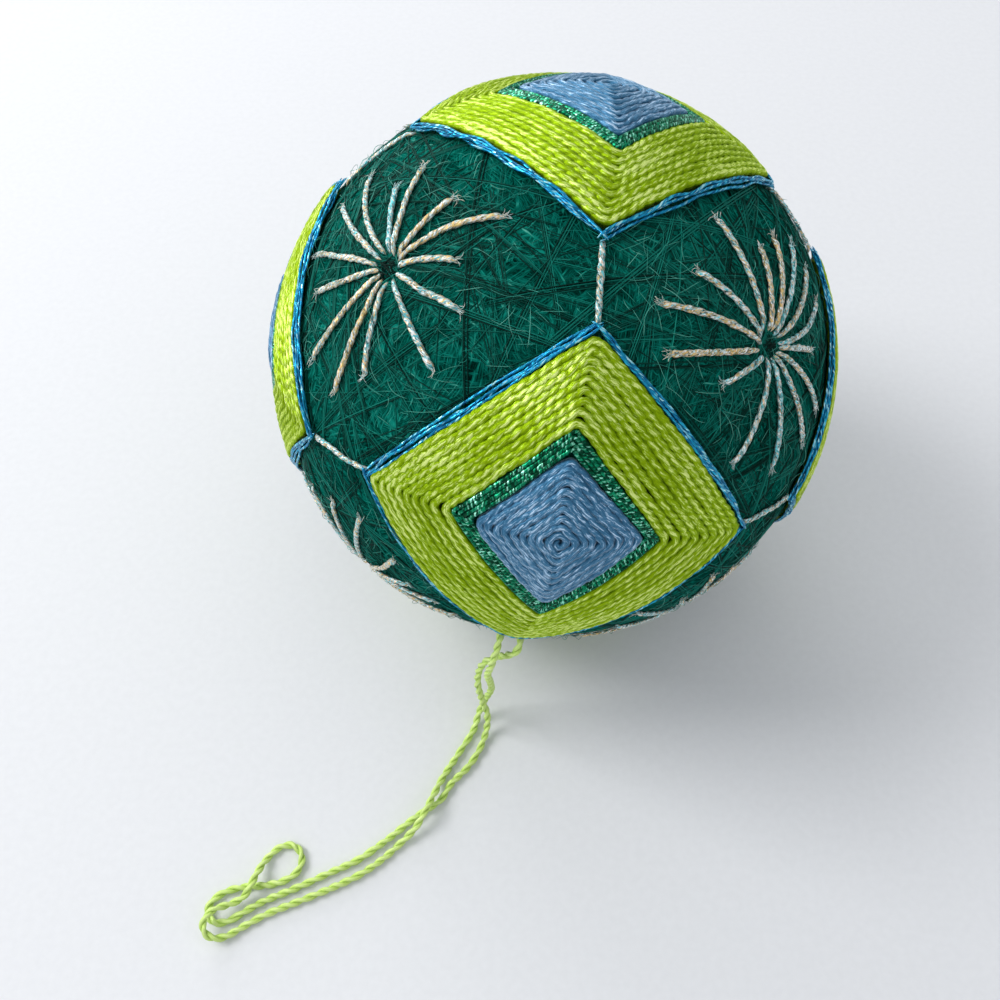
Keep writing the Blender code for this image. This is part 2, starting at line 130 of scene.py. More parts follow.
# A starburst's stitches: bearing anticlockwise from the top or bottom square (degrees), length from
# the star's middle (mm), bow to the left of its run (mm), tint from cyan (0) over silver to gold (1).
STAR_STITCHES = {
    "front_left_top": (
        (24, 12.7, 0.3, 0.62), (38, 10.2, 0.1, 0.10), (60, 14.8, 0.85, 0.55), (79, 14.4, 0.3, 0.48),
        (106, 13.7, 0.0, 0.64), (130, 11.0, 0.1, 0.72), (161, 14.9, 0.1, 0.80),
        (184, 15.2, 0.2, 0.92), (203, 12.0, -0.1, 0.50), (244, 13.6, 0.0, 0.34),
        (275, 11.4, -0.2, 0.52), (302, 9.2, 0.25, 0.66), (323, 14.4, 1.1, 0.88),
        (348, 10.4, 0.3, 0.90),
    ),
    "front_right_top": (
        (6, 15.0, -0.5, 0.58), (37, 12.4, -0.5, 0.40), (59, 15.0, -0.35, 0.80),
        (80, 13.8, 0.1, 0.94), (106, 8.2, 0.2, 0.38), (149, 13.7, 0.8, 0.42),
        (180, 14.5, 0.7, 0.18), (207, 15.0, 0.3, 0.50), (225, 14.6, 0.7, 0.52),
        (253, 9.0, 0.25, 0.56), (281, 13.6, -1.1, 0.30), (297, 14.6, -0.9, 0.64),
        (312, 14.8, -0.6, 0.16), (328, 13.2, -0.9, 0.92), (343, 11.0, -0.6, 0.86),
    ),
    "front_left_bottom": (
        (22, 12.6, 0.4, 0.50), (50, 11.4, 0.2, 0.60), (78, 14.2, -0.4, 0.75),
        (96, 12.4, 0.3, 0.30), (113, 10.2, 0.1, 0.55), (137, 12.8, -0.5, 0.85),
        (163, 15.2, 0.3, 0.45), (184, 13.7, 0.5, 0.60), (214, 13.4, -0.6, 0.55),
        (236, 14.6, -0.8, 0.35), (262, 11.2, 0.4, 0.65), (288, 14.4, 0.6, 0.90),
        (315, 12.0, -0.3, 0.70), (340, 15.0, 0.2, 0.95),
    ),
    "front_right_bottom": (
        (14, 13.0, 0.3, 0.55), (38, 15.0, -0.5, 0.80), (66, 11.6, 0.2, 0.45),
        (92, 14.2, 0.6, 0.60), (118, 12.6, -0.2, 0.25), (146, 12.4, 0.1, 0.50),
        (172, 11.0, -0.4, 0.90), (198, 12.8, 0.3, 0.65), (220, 9.4, 0.2, 0.50),
        (246, 13.6, -0.6, 0.40), (270, 11.8, 0.5, 0.55), (296, 14.8, 0.2, 0.85),
        (322, 12.2, -0.3, 0.60), (348, 14.4, 0.4, 0.35),
    ),
}
HIDDEN_STAR_STITCHES = 14
HIDDEN_STAR_LENGTHS_MM = (14.6, 11.2, 13.4, 15.2, 12.2)
# How far a star's eye lies from its middle, toward the top and anticlockwise, in millimetres
STAR_EYES_MM = {"front_left_top": (0.3, -0.7)}
STAR_MIDDLES = {
    "front_left_top": (-0.613, -0.541, 0.576),
    "front_right_top": (0.570, -0.619, 0.540),
    "front_left_bottom": (-0.577, -0.577, -0.577),
    "front_right_bottom": (0.577, -0.577, -0.577),
    "back_left_top": (-0.560, 0.590, 0.582),
    "back_right_top": (0.590, 0.560, 0.582),
    "back_left_bottom": (-0.585, 0.570, -0.577),
    "back_right_bottom": (0.570, 0.590, -0.572),
}

# The hanging loop's route, in millimetres: x, y, z. It leaves the front square's bottom corner,
# drops to the table, runs out to a fold, curls, folds again and comes back beside itself.
CORD_ROUTE_MM = (
    (-6.8, -34.0, 25.9), (-7.3, -35.8, 24.9), (-8.1, -37.0, 21.5), (-8.7, -37.0, 17.5),
    (-8.4, -36.3, 12.5), (-8.3, -35.8, 8.0), (-9.2, -35.9, 4.0), (-10.2, -37.2, 1.5),
    (-11.0, -39.6, 0.6), (-13.0, -42.9, 0.6), (-15.2, -46.4, 0.6), (-16.4, -49.0, 1.5),
    (-17.6, -51.7, 2.2), (-19.1, -54.1, 1.5), (-21.4, -56.2, 0.6), (-23.8, -58.3, 0.6),
    (-26.5, -60.1, 0.6), (-30.1, -61.8, 0.6), (-34.6, -63.6, 0.6), (-39.0, -65.3, 0.6),
    (-42.4, -67.1, 0.6), (-44.2, -68.2, 0.9), (-45.9, -68.4, 1.5), (-47.0, -67.5, 2.1),
    (-46.9, -66.0, 2.5), (-45.6, -64.8, 2.2), (-43.7, -64.0, 1.3), (-42.2, -63.1, 1.5),
    (-41.3, -61.7, 2.1), (-40.6, -59.7, 1.4), (-39.6, -57.8, 0.6), (-38.0, -56.4, 0.6),
    (-36.1, -56.3, 0.6), (-34.9, -57.8, 0.6), (-35.4, -59.8, 0.6), (-37.4, -61.1, 0.6),
    (-40.0, -61.6, 0.6), (-42.6, -61.8, 0.6), (-45.2, -62.5, 0.6), (-46.9, -63.9, 0.6),
    (-47.0, -65.5, 0.6), (-45.8, -66.4, 0.6), (-44.2, -66.2, 0.6), (-42.4, -65.2, 0.6),
    (-39.5, -63.6, 0.6), (-35.5, -62.0, 0.6), (-31.0, -60.0, 0.6), (-27.0, -58.2, 0.6),
    (-24.2, -56.3, 0.6), (-22.2, -54.8, 0.6), (-20.1, -53.1, 0.6), (-17.8, -51.4, 0.6),
    (-15.6, -49.9, 0.6), (-14.0, -47.4, 0.6), (-11.8, -45.2, 0.6), (-10.1, -42.6, 0.6),
    (-9.1, -40.0, 1.2), (-8.9, -38.2, 3.4), (-9.6, -37.3, 7.5), (-10.2, -36.2, 12.0),
    (-9.6, -35.4, 16.5), (-7.8, -35.5, 20.0), (-5.4, -36.3, 23.3), (-4.5, -35.9, 25.0),
    (-4.3, -34.35, 25.7),
)

# How far a stitched thread reaches down at its sides, so that no gap opens beside it.
SKIRT = 0.8 * MM
# The shortest waves in which a thread wanders from its line and from its height
DRIFT_WAVE = 5 * MM
RISE_WAVE = 4 * MM

# How each kind of row is laid, in millimetres: the fillet at its corners, the step between its
# points, how far it wanders aside and how far up and down.
ROW_LAYS_MM = {
    "lime": (1.0, 0.44, 0.07, 0.03),
    "blue": (0.8, 0.42, 0.09, 0.05),
    "frame": (0.4, 0.27, 0.05, 0.05),
}
# How far the lime rows keep inside the square's line, and how far rows reach past a frame's edges
LIME_MARGIN = 0.95 * MM
FRAME_MARGIN = 0.1 * MM
MIDDLE_MARGIN = 0.15 * MM
FRAME_HALF_WIDTH = 0.3 * MM
FRAME_HEIGHT = 0.36 * MM

# The outline's strands: how far apart they lie, the radius they lie at, and how far past a corner
# they may run
STRAND_SPACING = 0.26 * MM
STRAND_RISE = 0.14 * MM
OUTLINE_RADIUS = 37.05 * MM
PAST_CORNER_MM = (0.1, 1.3)

# The braid's lie over the ground, and the frayed ends of its stitches
BRAID_RISE = 0.42 * MM
FRAY_REACH = 1.1 * MM
FRAY_RISE = 0.35 * MM
FRAY_HAIRS = 9
EYE_RADII_MM = (1.0, 1.9)

# The ground: how far threads are pulled (radians either way), how high they lie, and the loose
# hairs' radii
PULL_REACH = (0.2, 0.75)
WOUND_STEP = 2.0 * MM
WOUND_LIE_MM = (-0.03, 0.13)
# Short threads in the ground's shadow colour paint the shade in each star's eye
EYE_THREADS = 14
EYE_THREAD_REACH_MM = 1.1
HAIR_RADII_MM = (0.022, 0.042)
HAIR_LIE = 0.14 * MM
HAIR_RISE = 0.9 * MM
# What share of the way to its corners a square covers, for threads and for hairs
SQUARE_COVER = 0.72
HAIR_COVER = 0.76
STAR_SPREAD = 0.42

# The UV layout in which every thread lies as a straight strip.
STRIP_MAP = "OFBake"
STRIP_MARGIN = 0.06


def unit(vectors):
    return vectors / np.linalg.norm(vectors, axis=-1, keepdims=True)


def on_ball(directions, radii):
    """Points at these radii, for directions in the ball's own frame."""
    return BALL_CENTRE + (unit(directions) * np.asarray(radii)[..., None]) @ LEAN.T


class Square:
    """One stitched square, laid out on the plane that touches the ball at its middle."""

    def __init__(self, name):
        self.name = name
        self.axis = AXES[name]
        self.along = AXES[FIRST_CORNER[name]]
        self.across = np.cross(self.axis, self.along)
        rows = [self.corner_row(k) for k in range(4)]
        self.outline = np.array([self.corner(k, *row[0:2]) for k, row in enumerate(rows)])
        self.frame = np.array([self.corner(k, *row[2:4]) for k, row in enumerate(rows)])
        self.middle = np.array([self.corner(k, *row[4:6]) for k, row in enumerate(rows)])

    def neighbour(self, k):
        turn = math.radians(90 * k)
        toward = self.along * math.cos(turn) + self.across * math.sin(turn)
        return max(AXES, key=lambda other: AXES[other].dot(toward))

    def corner_row(self, k):
        even = (OUTLINE_REACH_DEG, 0, FRAME_REACH_DEG, 0, MIDDLE_REACH_DEG, 0)
        return STRAY_CORNERS.get((self.name, self.neighbour(k)), even)

    def corner(self, k, reach_deg, stray_deg):
        turn = math.radians(90 * k + stray_deg)
        return math.tan(math.radians(reach_deg)) * np.array((math.cos(turn), math.sin(turn)))

    def directions(self, flat):
        return self.axis + flat[:, :1] * self.along + flat[:, 1:] * self.across


SQUARES = {name: Square(name) for name in AXES}


def inset(corners, distance):
    """The same outline with each side moved inward, in the flat layout's units."""
    after = unit(np.roll(corners, -1, 0) - corners)
    before = np.roll(after, 1, 0)
    in_after = np.stack((-after[:, 1], after[:, 0]), 1)
    in_before = np.stack((-before[:, 1], before[:, 0]), 1)
    bisector = unit(in_before + in_after)
    return corners + bisector * (distance / (bisector * in_before).sum(1))[:, None]


def rounded(corners, fillet, closed=True):
    """A path along straight sides that turns each corner on a short curve."""
    count = len(corners)
    share = np.linspace(0, 1, 7)[:, None]
    path = []
    for k, here in enumerate(corners):
        if not closed and k in (0, count - 1):
            path.append(here[None])
            continue
        back = corners[k - 1] - here
        ahead = corners[(k + 1) % count] - here
        start = here + back * min(fillet / np.linalg.norm(back), 0.45)
        stop = here + ahead * min(fillet / np.linalg.norm(ahead), 0.45)
        path.append(start * (1 - share) ** 2 + here * 2 * share * (1 - share) + stop * share**2)
    return np.concatenate(path)


def evenly(path, step, closed=False, substeps=30):
    """Points at equal steps along a path, and their distances from its start."""
    if closed:
        path = np.vstack([path, path[:1]])
    fine = np.linspace(0, len(path) - 1, substeps * (len(path) - 1) + 1)
    dense = np.stack([np.interp(fine, np.arange(len(path)), axis) for axis in path.T], 1)
    run = np.concatenate([[0], np.cumsum(np.linalg.norm(np.diff(dense, axis=0), axis=1))])
    count = max(round(run[-1] / step), 3)
    wanted = np.linspace(0, run[-1], count + 1)
    if closed:
        wanted = wanted[:-1]
    return np.stack([np.interp(wanted, run, axis) for axis in dense.T], 1), wanted, run[-1]


def wander(rng, run, total, size, shortest):
    """A smooth random drift along a thread that comes back to where it began."""
    waves = max(int(total / shortest), 2)
    drift = np.zeros_like(run)
    for k in range(1, waves + 1):
        drift += rng.normal() * np.sin(2 * math.pi * k * run / total + rng.uniform(0, 6.3))
    return drift * size / math.sqrt(waves)


# Cross-sections of a thread, as angles from its side over its top. One that lies on the ball has no
# points underneath.
LYING = np.radians((-32, 10, 50, 90, 130, 170, 212))
FINE_LYING = np.radians((-25, 32, 90, 148, 205))
THIN = np.radians((-30, 90, 210))
ROUND = np.radians(np.arange(0, 360, 60))


class Bundle:
    """Gathers tubes of thread, to be joined as one mesh."""

    def __init__(self):
        self.points = []
        self.fibre = []
        self.lift = []
        self.tone = []
        self.quads = []
        self.caps = []
        self.strips = []
        self.count = 0
        self.rings = 0

    def add(self, rings, fibre, lift, tone, closed):
        """For each ring and angle: its place, its fibre coordinate and how much it stands out."""
        length, around = rings.shape[:2]
        spans = length if closed else length - 1
        i = np.arange(spans)[:, None]
        j = np.arange(around)[None, :]
        ahead = (i + 1) % length
        beside = (j + 1) % around
        corners = (i * around + j, i * around + beside, ahead * around + beside, ahead * around + j)
        quads = np.stack(np.broadcast_arrays(*corners), -1).reshape(-1, 4)
        self.quads.append(quads + self.count)
        places = np.stack(np.broadcast_arrays(self.rings + i, j, around), -1)
        self.strips.append(places.reshape(-1, 3))
        if not closed:
            first = np.arange(around)
            self.caps.append(first[::-1] + self.count)
            self.caps.append(first + (length - 1) * around + self.count)
        self.points.append(rings.reshape(-1, 3))
        self.fibre.append(fibre.reshape(-1, 3))
        self.lift.append(np.broadcast_to(lift, (length, around)).ravel())
        self.tone.append(np.full(length * around, tone))
        self.count += length * around
        self.rings += spans

    def strip_uvs(self):
        """Corners of the quads with every tube unrolled, in strips across the unit square."""
        strips = np.concatenate(self.strips).astype(float)
        per_strip = max(math.ceil(math.sqrt(self.rings * 7)), 8)
        lines = self.rings // per_strip + 2
        ring, column, around = strips.T
        left = (ring % per_strip) / per_strip
        right = left + 1 / per_strip
        usable = 1 - 2 * STRIP_MARGIN
        low = (ring // per_strip + STRIP_MARGIN + usable * column / around) / lines
        high = low + usable / around / lines
        corners = ((left, low), (left, high), (right, high), (right, low))
        return np.stack([np.stack(corner, -1) for corner in corners], 1).reshape(-1, 2)


def join_bundle(name, bundle, material):
    """One mesh object from all of a bundle's tubes."""
    points = np.concatenate(bundle.points)
    quads = np.concatenate(bundle.quads)
    loops = np.concatenate([quads.ravel(), *bundle.caps]).astype(np.int32)
    sizes = np.concatenate([np.full(len(quads), 4), [len(cap) for cap in bundle.caps]])
    sizes = sizes.astype(np.int32)
    starts = np.concatenate([[0], np.cumsum(sizes)[:-1]]).astype(np.int32)
    mesh = bpy.data.meshes.new(name)
    mesh.vertices.add(len(points))
    mesh.vertices.foreach_set("co", points.astype(np.float32).ravel())
    mesh.loops.add(len(loops))
    mesh.loops.foreach_set("vertex_index", loops)
    mesh.polygons.add(len(sizes))
    mesh.polygons.foreach_set("loop_start", starts)
    mesh.polygons.foreach_set("loop_total", sizes)
    mesh.update(calc_edges=True)
    mesh.shade_smooth()
    fibre = mesh.attributes.new("fibre", "FLOAT_VECTOR", "POINT")
    fibre.data.foreach_set("vector", np.concatenate(bundle.fibre).astype(np.float32).ravel())
    for label, values in (("lift", bundle.lift), ("tone", bundle.tone)):
        shade = mesh.attributes.new(label, "FLOAT", "POINT")
        shade.data.foreach_set("value", np.concatenate(values).astype(np.float32))
    uvs = bundle.strip_uvs()
    cap_uvs = np.full((len(loops) - len(uvs), 2), 1.0 - STRIP_MARGIN / 100)
    strip_map = mesh.uv_layers.new(name=STRIP_MAP)
    strip_map.uv.foreach_set("vector", np.vstack([uvs, cap_uvs]).astype(np.float32).ravel())
    mesh.materials.append(material)
    obj = bpy.data.objects.new(name, mesh)
    bpy.context.scene.collection.objects.link(obj)
    return obj


def dress(obj, nodes):
    """Puts a finished piece in the place of its solids."""
    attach(obj, "root")
    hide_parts(*nodes)
    return obj


def fibre_coordinates(angles, turns, run):
    """Where each point lies round and along its thread, for fibres that turn with it."""
    lay = angles - np.broadcast_to(turns, (len(run),))[:, None]
    along = np.broadcast_to((run / MM)[:, None], lay.shape)
    return np.stack((np.cos(lay), np.sin(lay), along), -1)


def tangents(path, closed):
    if closed:
        return unit(np.roll(path, -1, 0) - np.roll(path, 1, 0))
    return unit(np.gradient(path, axis=0))


def thread_frame(path, closed):
    """Which way is up from the ball and which way is aside, at each point of a laid thread."""
    up = unit(path)
    return up, unit(np.cross(tangents(path, closed), up))


def on_thread(frame, lie, rise, spread):
    """Rings of points above and beside a laid thread's axis, which lies at radius lie."""
    up, side = (directions[:, None, :] for directions in frame)
    lie = np.broadcast_to(lie, (len(rise),))[:, None]
    return BALL_CENTRE + (up * (lie + rise)[..., None] + side * spread[..., None]) @ LEAN.T


def turns_along(rng, run, total, pitch, closed, wobble=0.5):
    """The turn of a twisted thread at each point. A closed one meets itself after whole turns."""
    if closed:
        pitch = total / max(round(total / pitch), 1)
    turns = 2 * math.pi * run / pitch + rng.uniform(0, 2 * math.pi)
    return turns + wander(rng, run, total, wobble, 6 * MM)


def thinned(run, total, taper):
    """The share of its full size that a thread has at each point, thin at its two ends."""
    return np.clip(np.minimum(run, total - run) / taper, 0.12, 1) ** 0.6 if taper else 1 + 0 * run


def lay_plies(bundle, path, run, total, lie, look, rng, closed=True, taper=0.0):
    """Lays one cotton thread on the ball along directions, as two plies that wind round each other.

    lie is the radius of its axis. Each ply reaches down so that no gap opens beside it."""
    frame = thread_frame(path, closed)
    turns = turns_along(rng, run, total, look.twist, closed)
    size = thinned(run, total, taper)[:, None]
    tone = rng.uniform()
    top = look.ply_height + look.ply_swing / 2
    for ply in (0.0, math.pi):
        turn = (turns + ply)[:, None]
        rise = size * (look.ply_height * np.sin(FINE_LYING) + look.ply_swing / 2 * np.sin(turn))
        spread = size * (look.ply_width / 2 * np.cos(FINE_LYING) + look.ply_swing * np.cos(turn))
        # lift runs from 0 low on the ply to 1 on its top; the cotton colours turn it into painted
        # shade low down and a painted highlight on the crest.
        lift = np.clip((rise / top + 1) / 2, 0, 1)
        rise[:, 0] = -SKIRT
        rise[:, -1] = -SKIRT
        fibre = fibre_coordinates(FINE_LYING, 0.0, run + ply * 0.1)
        bundle.add(on_thread(frame, lie, rise, spread), fibre, lift, tone, closed)


def lay_strand(bundle, path, run, total, lie, width, height, rng, **kind):
    """Lays one braided or single strand on the ball along directions. lie is its axis' radius.

    kind: pitch of a full turn, depth of the grooves between its turns, closed, profile, skirt
    (whether it reaches down beside itself), taper (length over which its ends thin out), tone."""
    closed = kind.get("closed", False)
    angles = kind.get("profile", LYING)
    turns = turns_along(rng, run, total, kind["pitch"], closed, 0.35)
    # lobes is high on each turn's crest and low in the grooves between turns; stored as lift, the
    # metallic colours turn it into painted shade in the grooves and painted glints on the crests.
    lobes = np.abs(np.cos(angles - turns[:, None]))
    swell = (1 - kind["depth"] * (1 - lobes)) * thinned(run, total, kind.get("taper"))[:, None]
    rise = np.broadcast_to(height, (len(run),))[:, None] * swell * np.sin(angles)
    spread = np.broadcast_to(width, (len(run),))[:, None] * swell * np.cos(angles)
    if "skirt" in kind:
        rise[:, 0] = -SKIRT
        rise[:, -1] = -SKIRT
    rings = on_thread(thread_frame(path, closed), lie, rise, spread)
    if closed:
        fibre_turns = np.round(turns[-1] / math.pi) * math.pi * run / total
    else:
        fibre_turns = turns / 2
    tone = kind.get("tone", rng.uniform())
    bundle.add(rings, fibre_coordinates(angles, fibre_turns, run), lobes, tone, closed)


def free_frame(path):
    """Two directions across a free line at each point, which turn with it as little as can be."""
    tangent = unit(np.gradient(path, axis=0))
    normal = np.cross(tangent[0], (0.0, 0.0, 1.0))
    if np.linalg.norm(normal) < 1e-3:
        normal = np.array((1.0, 0.0, 0.0))
    normals = []
    for way in tangent:
        normal = unit(normal - way * normal.dot(way))
        normals.append(normal)
    normals = np.array(normals)
    return normals, np.cross(tangent, normals)


def tube_rings(path, radius, angles):
    """Rings of a free tube along points in space."""
    normals, binormals = free_frame(path)
    size = np.broadcast_to(radius, (len(path),))[:, None]
    rings = path[:, None, :] + normals[:, None, :] * (size * np.cos(angles))[..., None]
    return rings + binormals[:, None, :] * (size * np.sin(angles))[..., None]


def add_hair(bundle, path, radius, tone):
    """One loose fibre with thin ends."""
    share = np.linspace(0, 1, len(path))
    size = radius * np.clip(np.minimum(share, 1 - share) * 6, 0.25, 1)
    fibre = fibre_coordinates(THIN, 0.0, share * 3 * MM)
    bundle.add(tube_rings(path, size, THIN), fibre, 1.0, tone, False)


def flat_step(length):
    """A length on the ball in the flat layout's units, at the middle of a square."""
    return length / THREAD_RADIUS


def square_row(square, corners, fillet, step, closed=True):
    path = square.directions(rounded(corners, flat_step(fillet), closed))
    points, run, total = evenly(unit(path), step / THREAD_RADIUS, closed)
    return unit(points), run * THREAD_RADIUS, total * THREAD_RADIUS


def drift_aside(path, run, total, closed, size, rng):
    """The same path with a small sideways wander."""
    side = unit(np.cross(tangents(path, closed), path))
    drift = wander(rng, run, total, size, DRIFT_WAVE) / THREAD_RADIUS
    return unit(path + side * drift[:, None])


# Materials

# Cotton: fibres around and along a thread, how far their shades spread, how narrow the painted
# highlight on a ply's crest is, and how much patches and single threads differ
FIBRES_AROUND = 2.6
FIBRES_ALONG = 0.8
FIBRE_SPREAD = 2.3
CREST_SHARPNESS = 1.6
PATCH_SCALE = 170.0
PATCH_CONTRAST = 0.35
THREAD_CONTRAST = 0.12
COTTON_STREAK = 0.65
# The ground's painted shade and light by its relief, and its random shade by patch
RELIEF_CONTRAST = 3.2
PATCH_SHADE = 0.12


def add_node(tree, kind, inputs=None, **settings):
    """A shader node with its settings, and its inputs as values or as sockets to link from."""
    node = tree.nodes.new(kind)
    for key, value in settings.items():
        setattr(node, key, value)
    for key, value in (inputs or {}).items():
        if isinstance(value, bpy.types.NodeSocket):
            tree.links.new(value, node.inputs[key])
        else:
            node.inputs[key].default_value = value
    return node


def math_node(tree, operation, first, second=0.0):
    return add_node(tree, "ShaderNodeMath", {0: first, 1: second}, operation=operation).outputs[0]


def vector_node(tree, operation, first, second=(0, 0, 0), output="Vector"):
    inputs = {0: first, 1: second}
    return add_node(tree, "ShaderNodeVectorMath", inputs, operation=operation).outputs[output]


def scale_vector(tree, vector, amount):
    inputs = {0: vector, "Scale": amount}
    return add_node(tree, "ShaderNodeVectorMath", inputs, operation="SCALE").outputs["Vector"]


def ramp_node(tree, factor, stops):
    """A colour ramp from (position, linear colour) rows."""
    ramp = add_node(tree, "ShaderNodeValToRGB", {"Fac": factor})
    elements = ramp.color_ramp.elements
    while len(elements) < len(stops):
        elements.new(1.0)
    for element, (position, colour) in zip(elements, stops):
        element.position = position
        element.color = (*colour, 1.0)
    return ramp.outputs["Color"]


def weighted_sum(tree, offset, *terms):
    """The offset plus each socket times its weight."""
    total = offset
    for socket, weight in terms:
        inputs = {0: socket, 1: weight, 2: total}
        total = add_node(tree, "ShaderNodeMath", inputs, operation="MULTIPLY_ADD").outputs[0]
    return total


def multiply_colours(tree, first, second):
    inputs = {"Factor": 1.0, 6: first, 7: second}
    node = add_node(tree, "ShaderNodeMix", inputs, data_type="RGBA", blend_type="MULTIPLY")
    return node.outputs[2]


def new_material(name):
    material = bpy.data.materials.new(name)
    material.use_nodes = True
    tree = material.node_tree
    return material, tree, tree.nodes["Principled BSDF"]


def thread_coordinates(tree, across, along):
    """The fibre coordinate stretched across and along the thread, different for each thread."""
    fibre = add_node(tree, "ShaderNodeAttribute", attribute_name="fibre").outputs["Vector"]
    tone = add_node(tree, "ShaderNodeAttribute", attribute_name="tone").outputs["Fac"]
    shift = add_node(tree, "ShaderNodeCombineXYZ", {"Z": math_node(tree, "MULTIPLY", tone, 900.0)})
    stretched = vector_node(tree, "MULTIPLY", fibre, (across, across, along))
    return vector_node(tree, "ADD", stretched, shift.outputs[0]), tone


def gleam_across(tree, shader, amount):
    """Makes a thread gleam as a bundle of fibres does: over a wide arc across it, narrow along."""
    strip = add_node(tree, "ShaderNodeTangent", direction_type="UV_MAP", uv_map=STRIP_MAP)
    tree.links.new(strip.outputs["Tangent"], shader.inputs["Tangent"])
    shader.inputs["Anisotropic"].default_value = amount
    shader.inputs["Anisotropic Rotation"].default_value = 0.25


def cotton_material(name, look):
    """Glossy cotton with fine fibres along it: a painted highlight makes each ply's crest paler, and
    painted shade darkens it beside the crest.
    """
    material, tree, shader = new_material(name)
    place, tone = thread_coordinates(tree, FIBRES_AROUND, FIBRES_ALONG)
    fibres = add_node(
        tree, "ShaderNodeTexNoise", {"Vector": place, "Scale": 1.0, "Detail": 5.0, "Roughness": 0.72}
    ).outputs["Fac"]
    fibres = weighted_sum(tree, 0.5 - 0.5 * FIBRE_SPREAD, (fibres, FIBRE_SPREAD))
    lift = add_node(tree, "ShaderNodeAttribute", attribute_name="lift").outputs["Fac"]
    lobe = math_node(tree, "POWER", lift, CREST_SHARPNESS)
    spot = add_node(tree, "ShaderNodeTexCoord").outputs["Object"]
    patches = add_node(
        tree, "ShaderNodeTexNoise", {"Vector": spot, "Scale": PATCH_SCALE, "Detail": 2.0}
    ).outputs["Fac"]
    level = weighted_sum(
        tree, -look.shade_level, (lobe, look.ply_contrast), (fibres, look.fibre_contrast),
        (patches, PATCH_CONTRAST), (tone, THREAD_CONTRAST),
    )
    # The groove colour is painted shade between the plies; the crest and gleam colours are painted
    # highlights on their crests.
    colour = ramp_node(
        tree, level, ((0.0, look.groove), (0.4, look.body), (0.85, look.crest), (1.0, look.gleam))
    )
    tree.links.new(colour, shader.inputs["Base Color"])
    shader.inputs["Roughness"].default_value = look.roughness
    shader.inputs["Metallic"].default_value = look.lustre
    shader.inputs["Specular IOR Level"].default_value = look.satin
    gleam_across(tree, shader, COTTON_STREAK)
    shader.inputs["Specular Tint"].default_value = (*look.gleam, 1.0)
    shader.inputs["Sheen Weight"].default_value = look.sheen
    shader.inputs["Sheen Roughness"].default_value = 0.28
    shader.inputs["Sheen Tint"].default_value = (*look.gleam, 1.0)
    bump = add_node(
        tree, "ShaderNodeBump", {"Height": fibres, "Strength": 0.5, "Distance": 0.12 * MM}
    )
    tree.links.new(bump.outputs["Normal"], shader.inputs["Normal"])
    return material


# Facet colours by level: painted shade (shadow), the braid's own colour (body), painted highlights
# (bright) and painted glints (glint).
def facet_stops(look):
    return ((0.0, look.shadow), (0.42, look.body), (0.76, look.bright), (0.96, look.glint))


def metallic_material(name, look):
    """Metallic film braid: many small facets, each with its own tilt and its own painted glint, and
    painted shade in the grooves between its turns.
    """
    material, tree, shader = new_material(name)
    place, tone = thread_coordinates(tree, look.fleck_across, look.fleck_along)
    cells = add_node(tree, "ShaderNodeTexVoronoi", {"Vector": place, "Scale": 1.0})
    cell_colour = cells.outputs["Color"]
    parts = add_node(tree, "ShaderNodeSeparateColor", {"Color": cell_colour})
    drift = add_node(
        tree, "ShaderNodeTexNoise", {"Vector": place, "Scale": 0.22, "Detail": 1.0}
    ).outputs["Fac"]
    lift = add_node(tree, "ShaderNodeAttribute", attribute_name="lift").outputs["Fac"]
    # The facet colours paint shade and glints: random cells, slow drift and the turns' crests (lift)
    # pick dark, bright or glinting facets.
    level = weighted_sum(
        tree, -0.15 - look.lobe_contrast * 0.6, (parts.outputs["Red"], 0.8), (drift, 0.5),
        (lift, look.lobe_contrast),
    )
    colour = ramp_node(tree, level, facet_stops(look))
    if hasattr(look, "warm_tint"):
        tint = weighted_sum(tree, -0.62, (tone, 0.6), (drift, 0.6), (parts.outputs["Green"], 1.0))
        white = (1.0, 1.0, 1.0)
        shades = ramp_node(
            tree,
            tint,
            (
                (0.1, look.cool_tint), (0.34, white), (0.52, white),
                (0.64, look.pink_tint), (0.86, look.warm_tint),
            ),
        )
        colour = multiply_colours(tree, colour, shades)
    tree.links.new(colour, shader.inputs["Base Color"])
    shader.inputs["Metallic"].default_value = look.metallic
    shader.inputs["Roughness"].default_value = look.roughness
    tilt = vector_node(tree, "SUBTRACT", cell_colour, (0.5, 0.5, 0.5))
    tilt = scale_vector(tree, tilt, look.facet_tilt)
    normal = add_node(tree, "ShaderNodeNewGeometry").outputs["Normal"]
    facets = vector_node(tree, "NORMALIZE", vector_node(tree, "ADD", normal, tilt))
    tree.links.new(facets, shader.inputs["Normal"])
    gleam_across(tree, shader, look.streak)
    shader.inputs["Sheen Weight"].default_value = look.sheen
    shader.inputs["Sheen Tint"].default_value = (*look.bright, 1.0)
    return material


def winding_layer(tree, place, scale, offset, threads):
    """One layer of wound thread: patches of parallel thread, each patch in its own direction.

    Returns the thread relief and a shade for each patch."""
    shifted = vector_node(tree, "ADD", place, (offset, offset * 0.7, -offset))
    patch = add_node(
        tree, "ShaderNodeTexVoronoi", {"Vector": shifted, "Scale": scale, "Randomness": 1.0}
    ).outputs["Color"]
    pole = vector_node(tree, "SUBTRACT", patch, (0.5, 0.5, 0.5))
    pole = vector_node(tree, "NORMALIZE", pole)
    height = vector_node(tree, "DOT_PRODUCT", place, pole, "Value")
    across = scale_vector(tree, pole, math_node(tree, "MULTIPLY", height, threads))
    stretched = vector_node(tree, "ADD", scale_vector(tree, place, 9.0), across)
    relief = add_node(
        tree,
        "ShaderNodeTexNoise",
        {"Vector": stretched, "Scale": 1.0, "Detail": 3.0, "Roughness": 0.7, "Distortion": 0.25},
    ).outputs["Fac"]
    shade = add_node(tree, "ShaderNodeSeparateColor", {"Color": patch}).outputs["Green"]
    return relief, shade


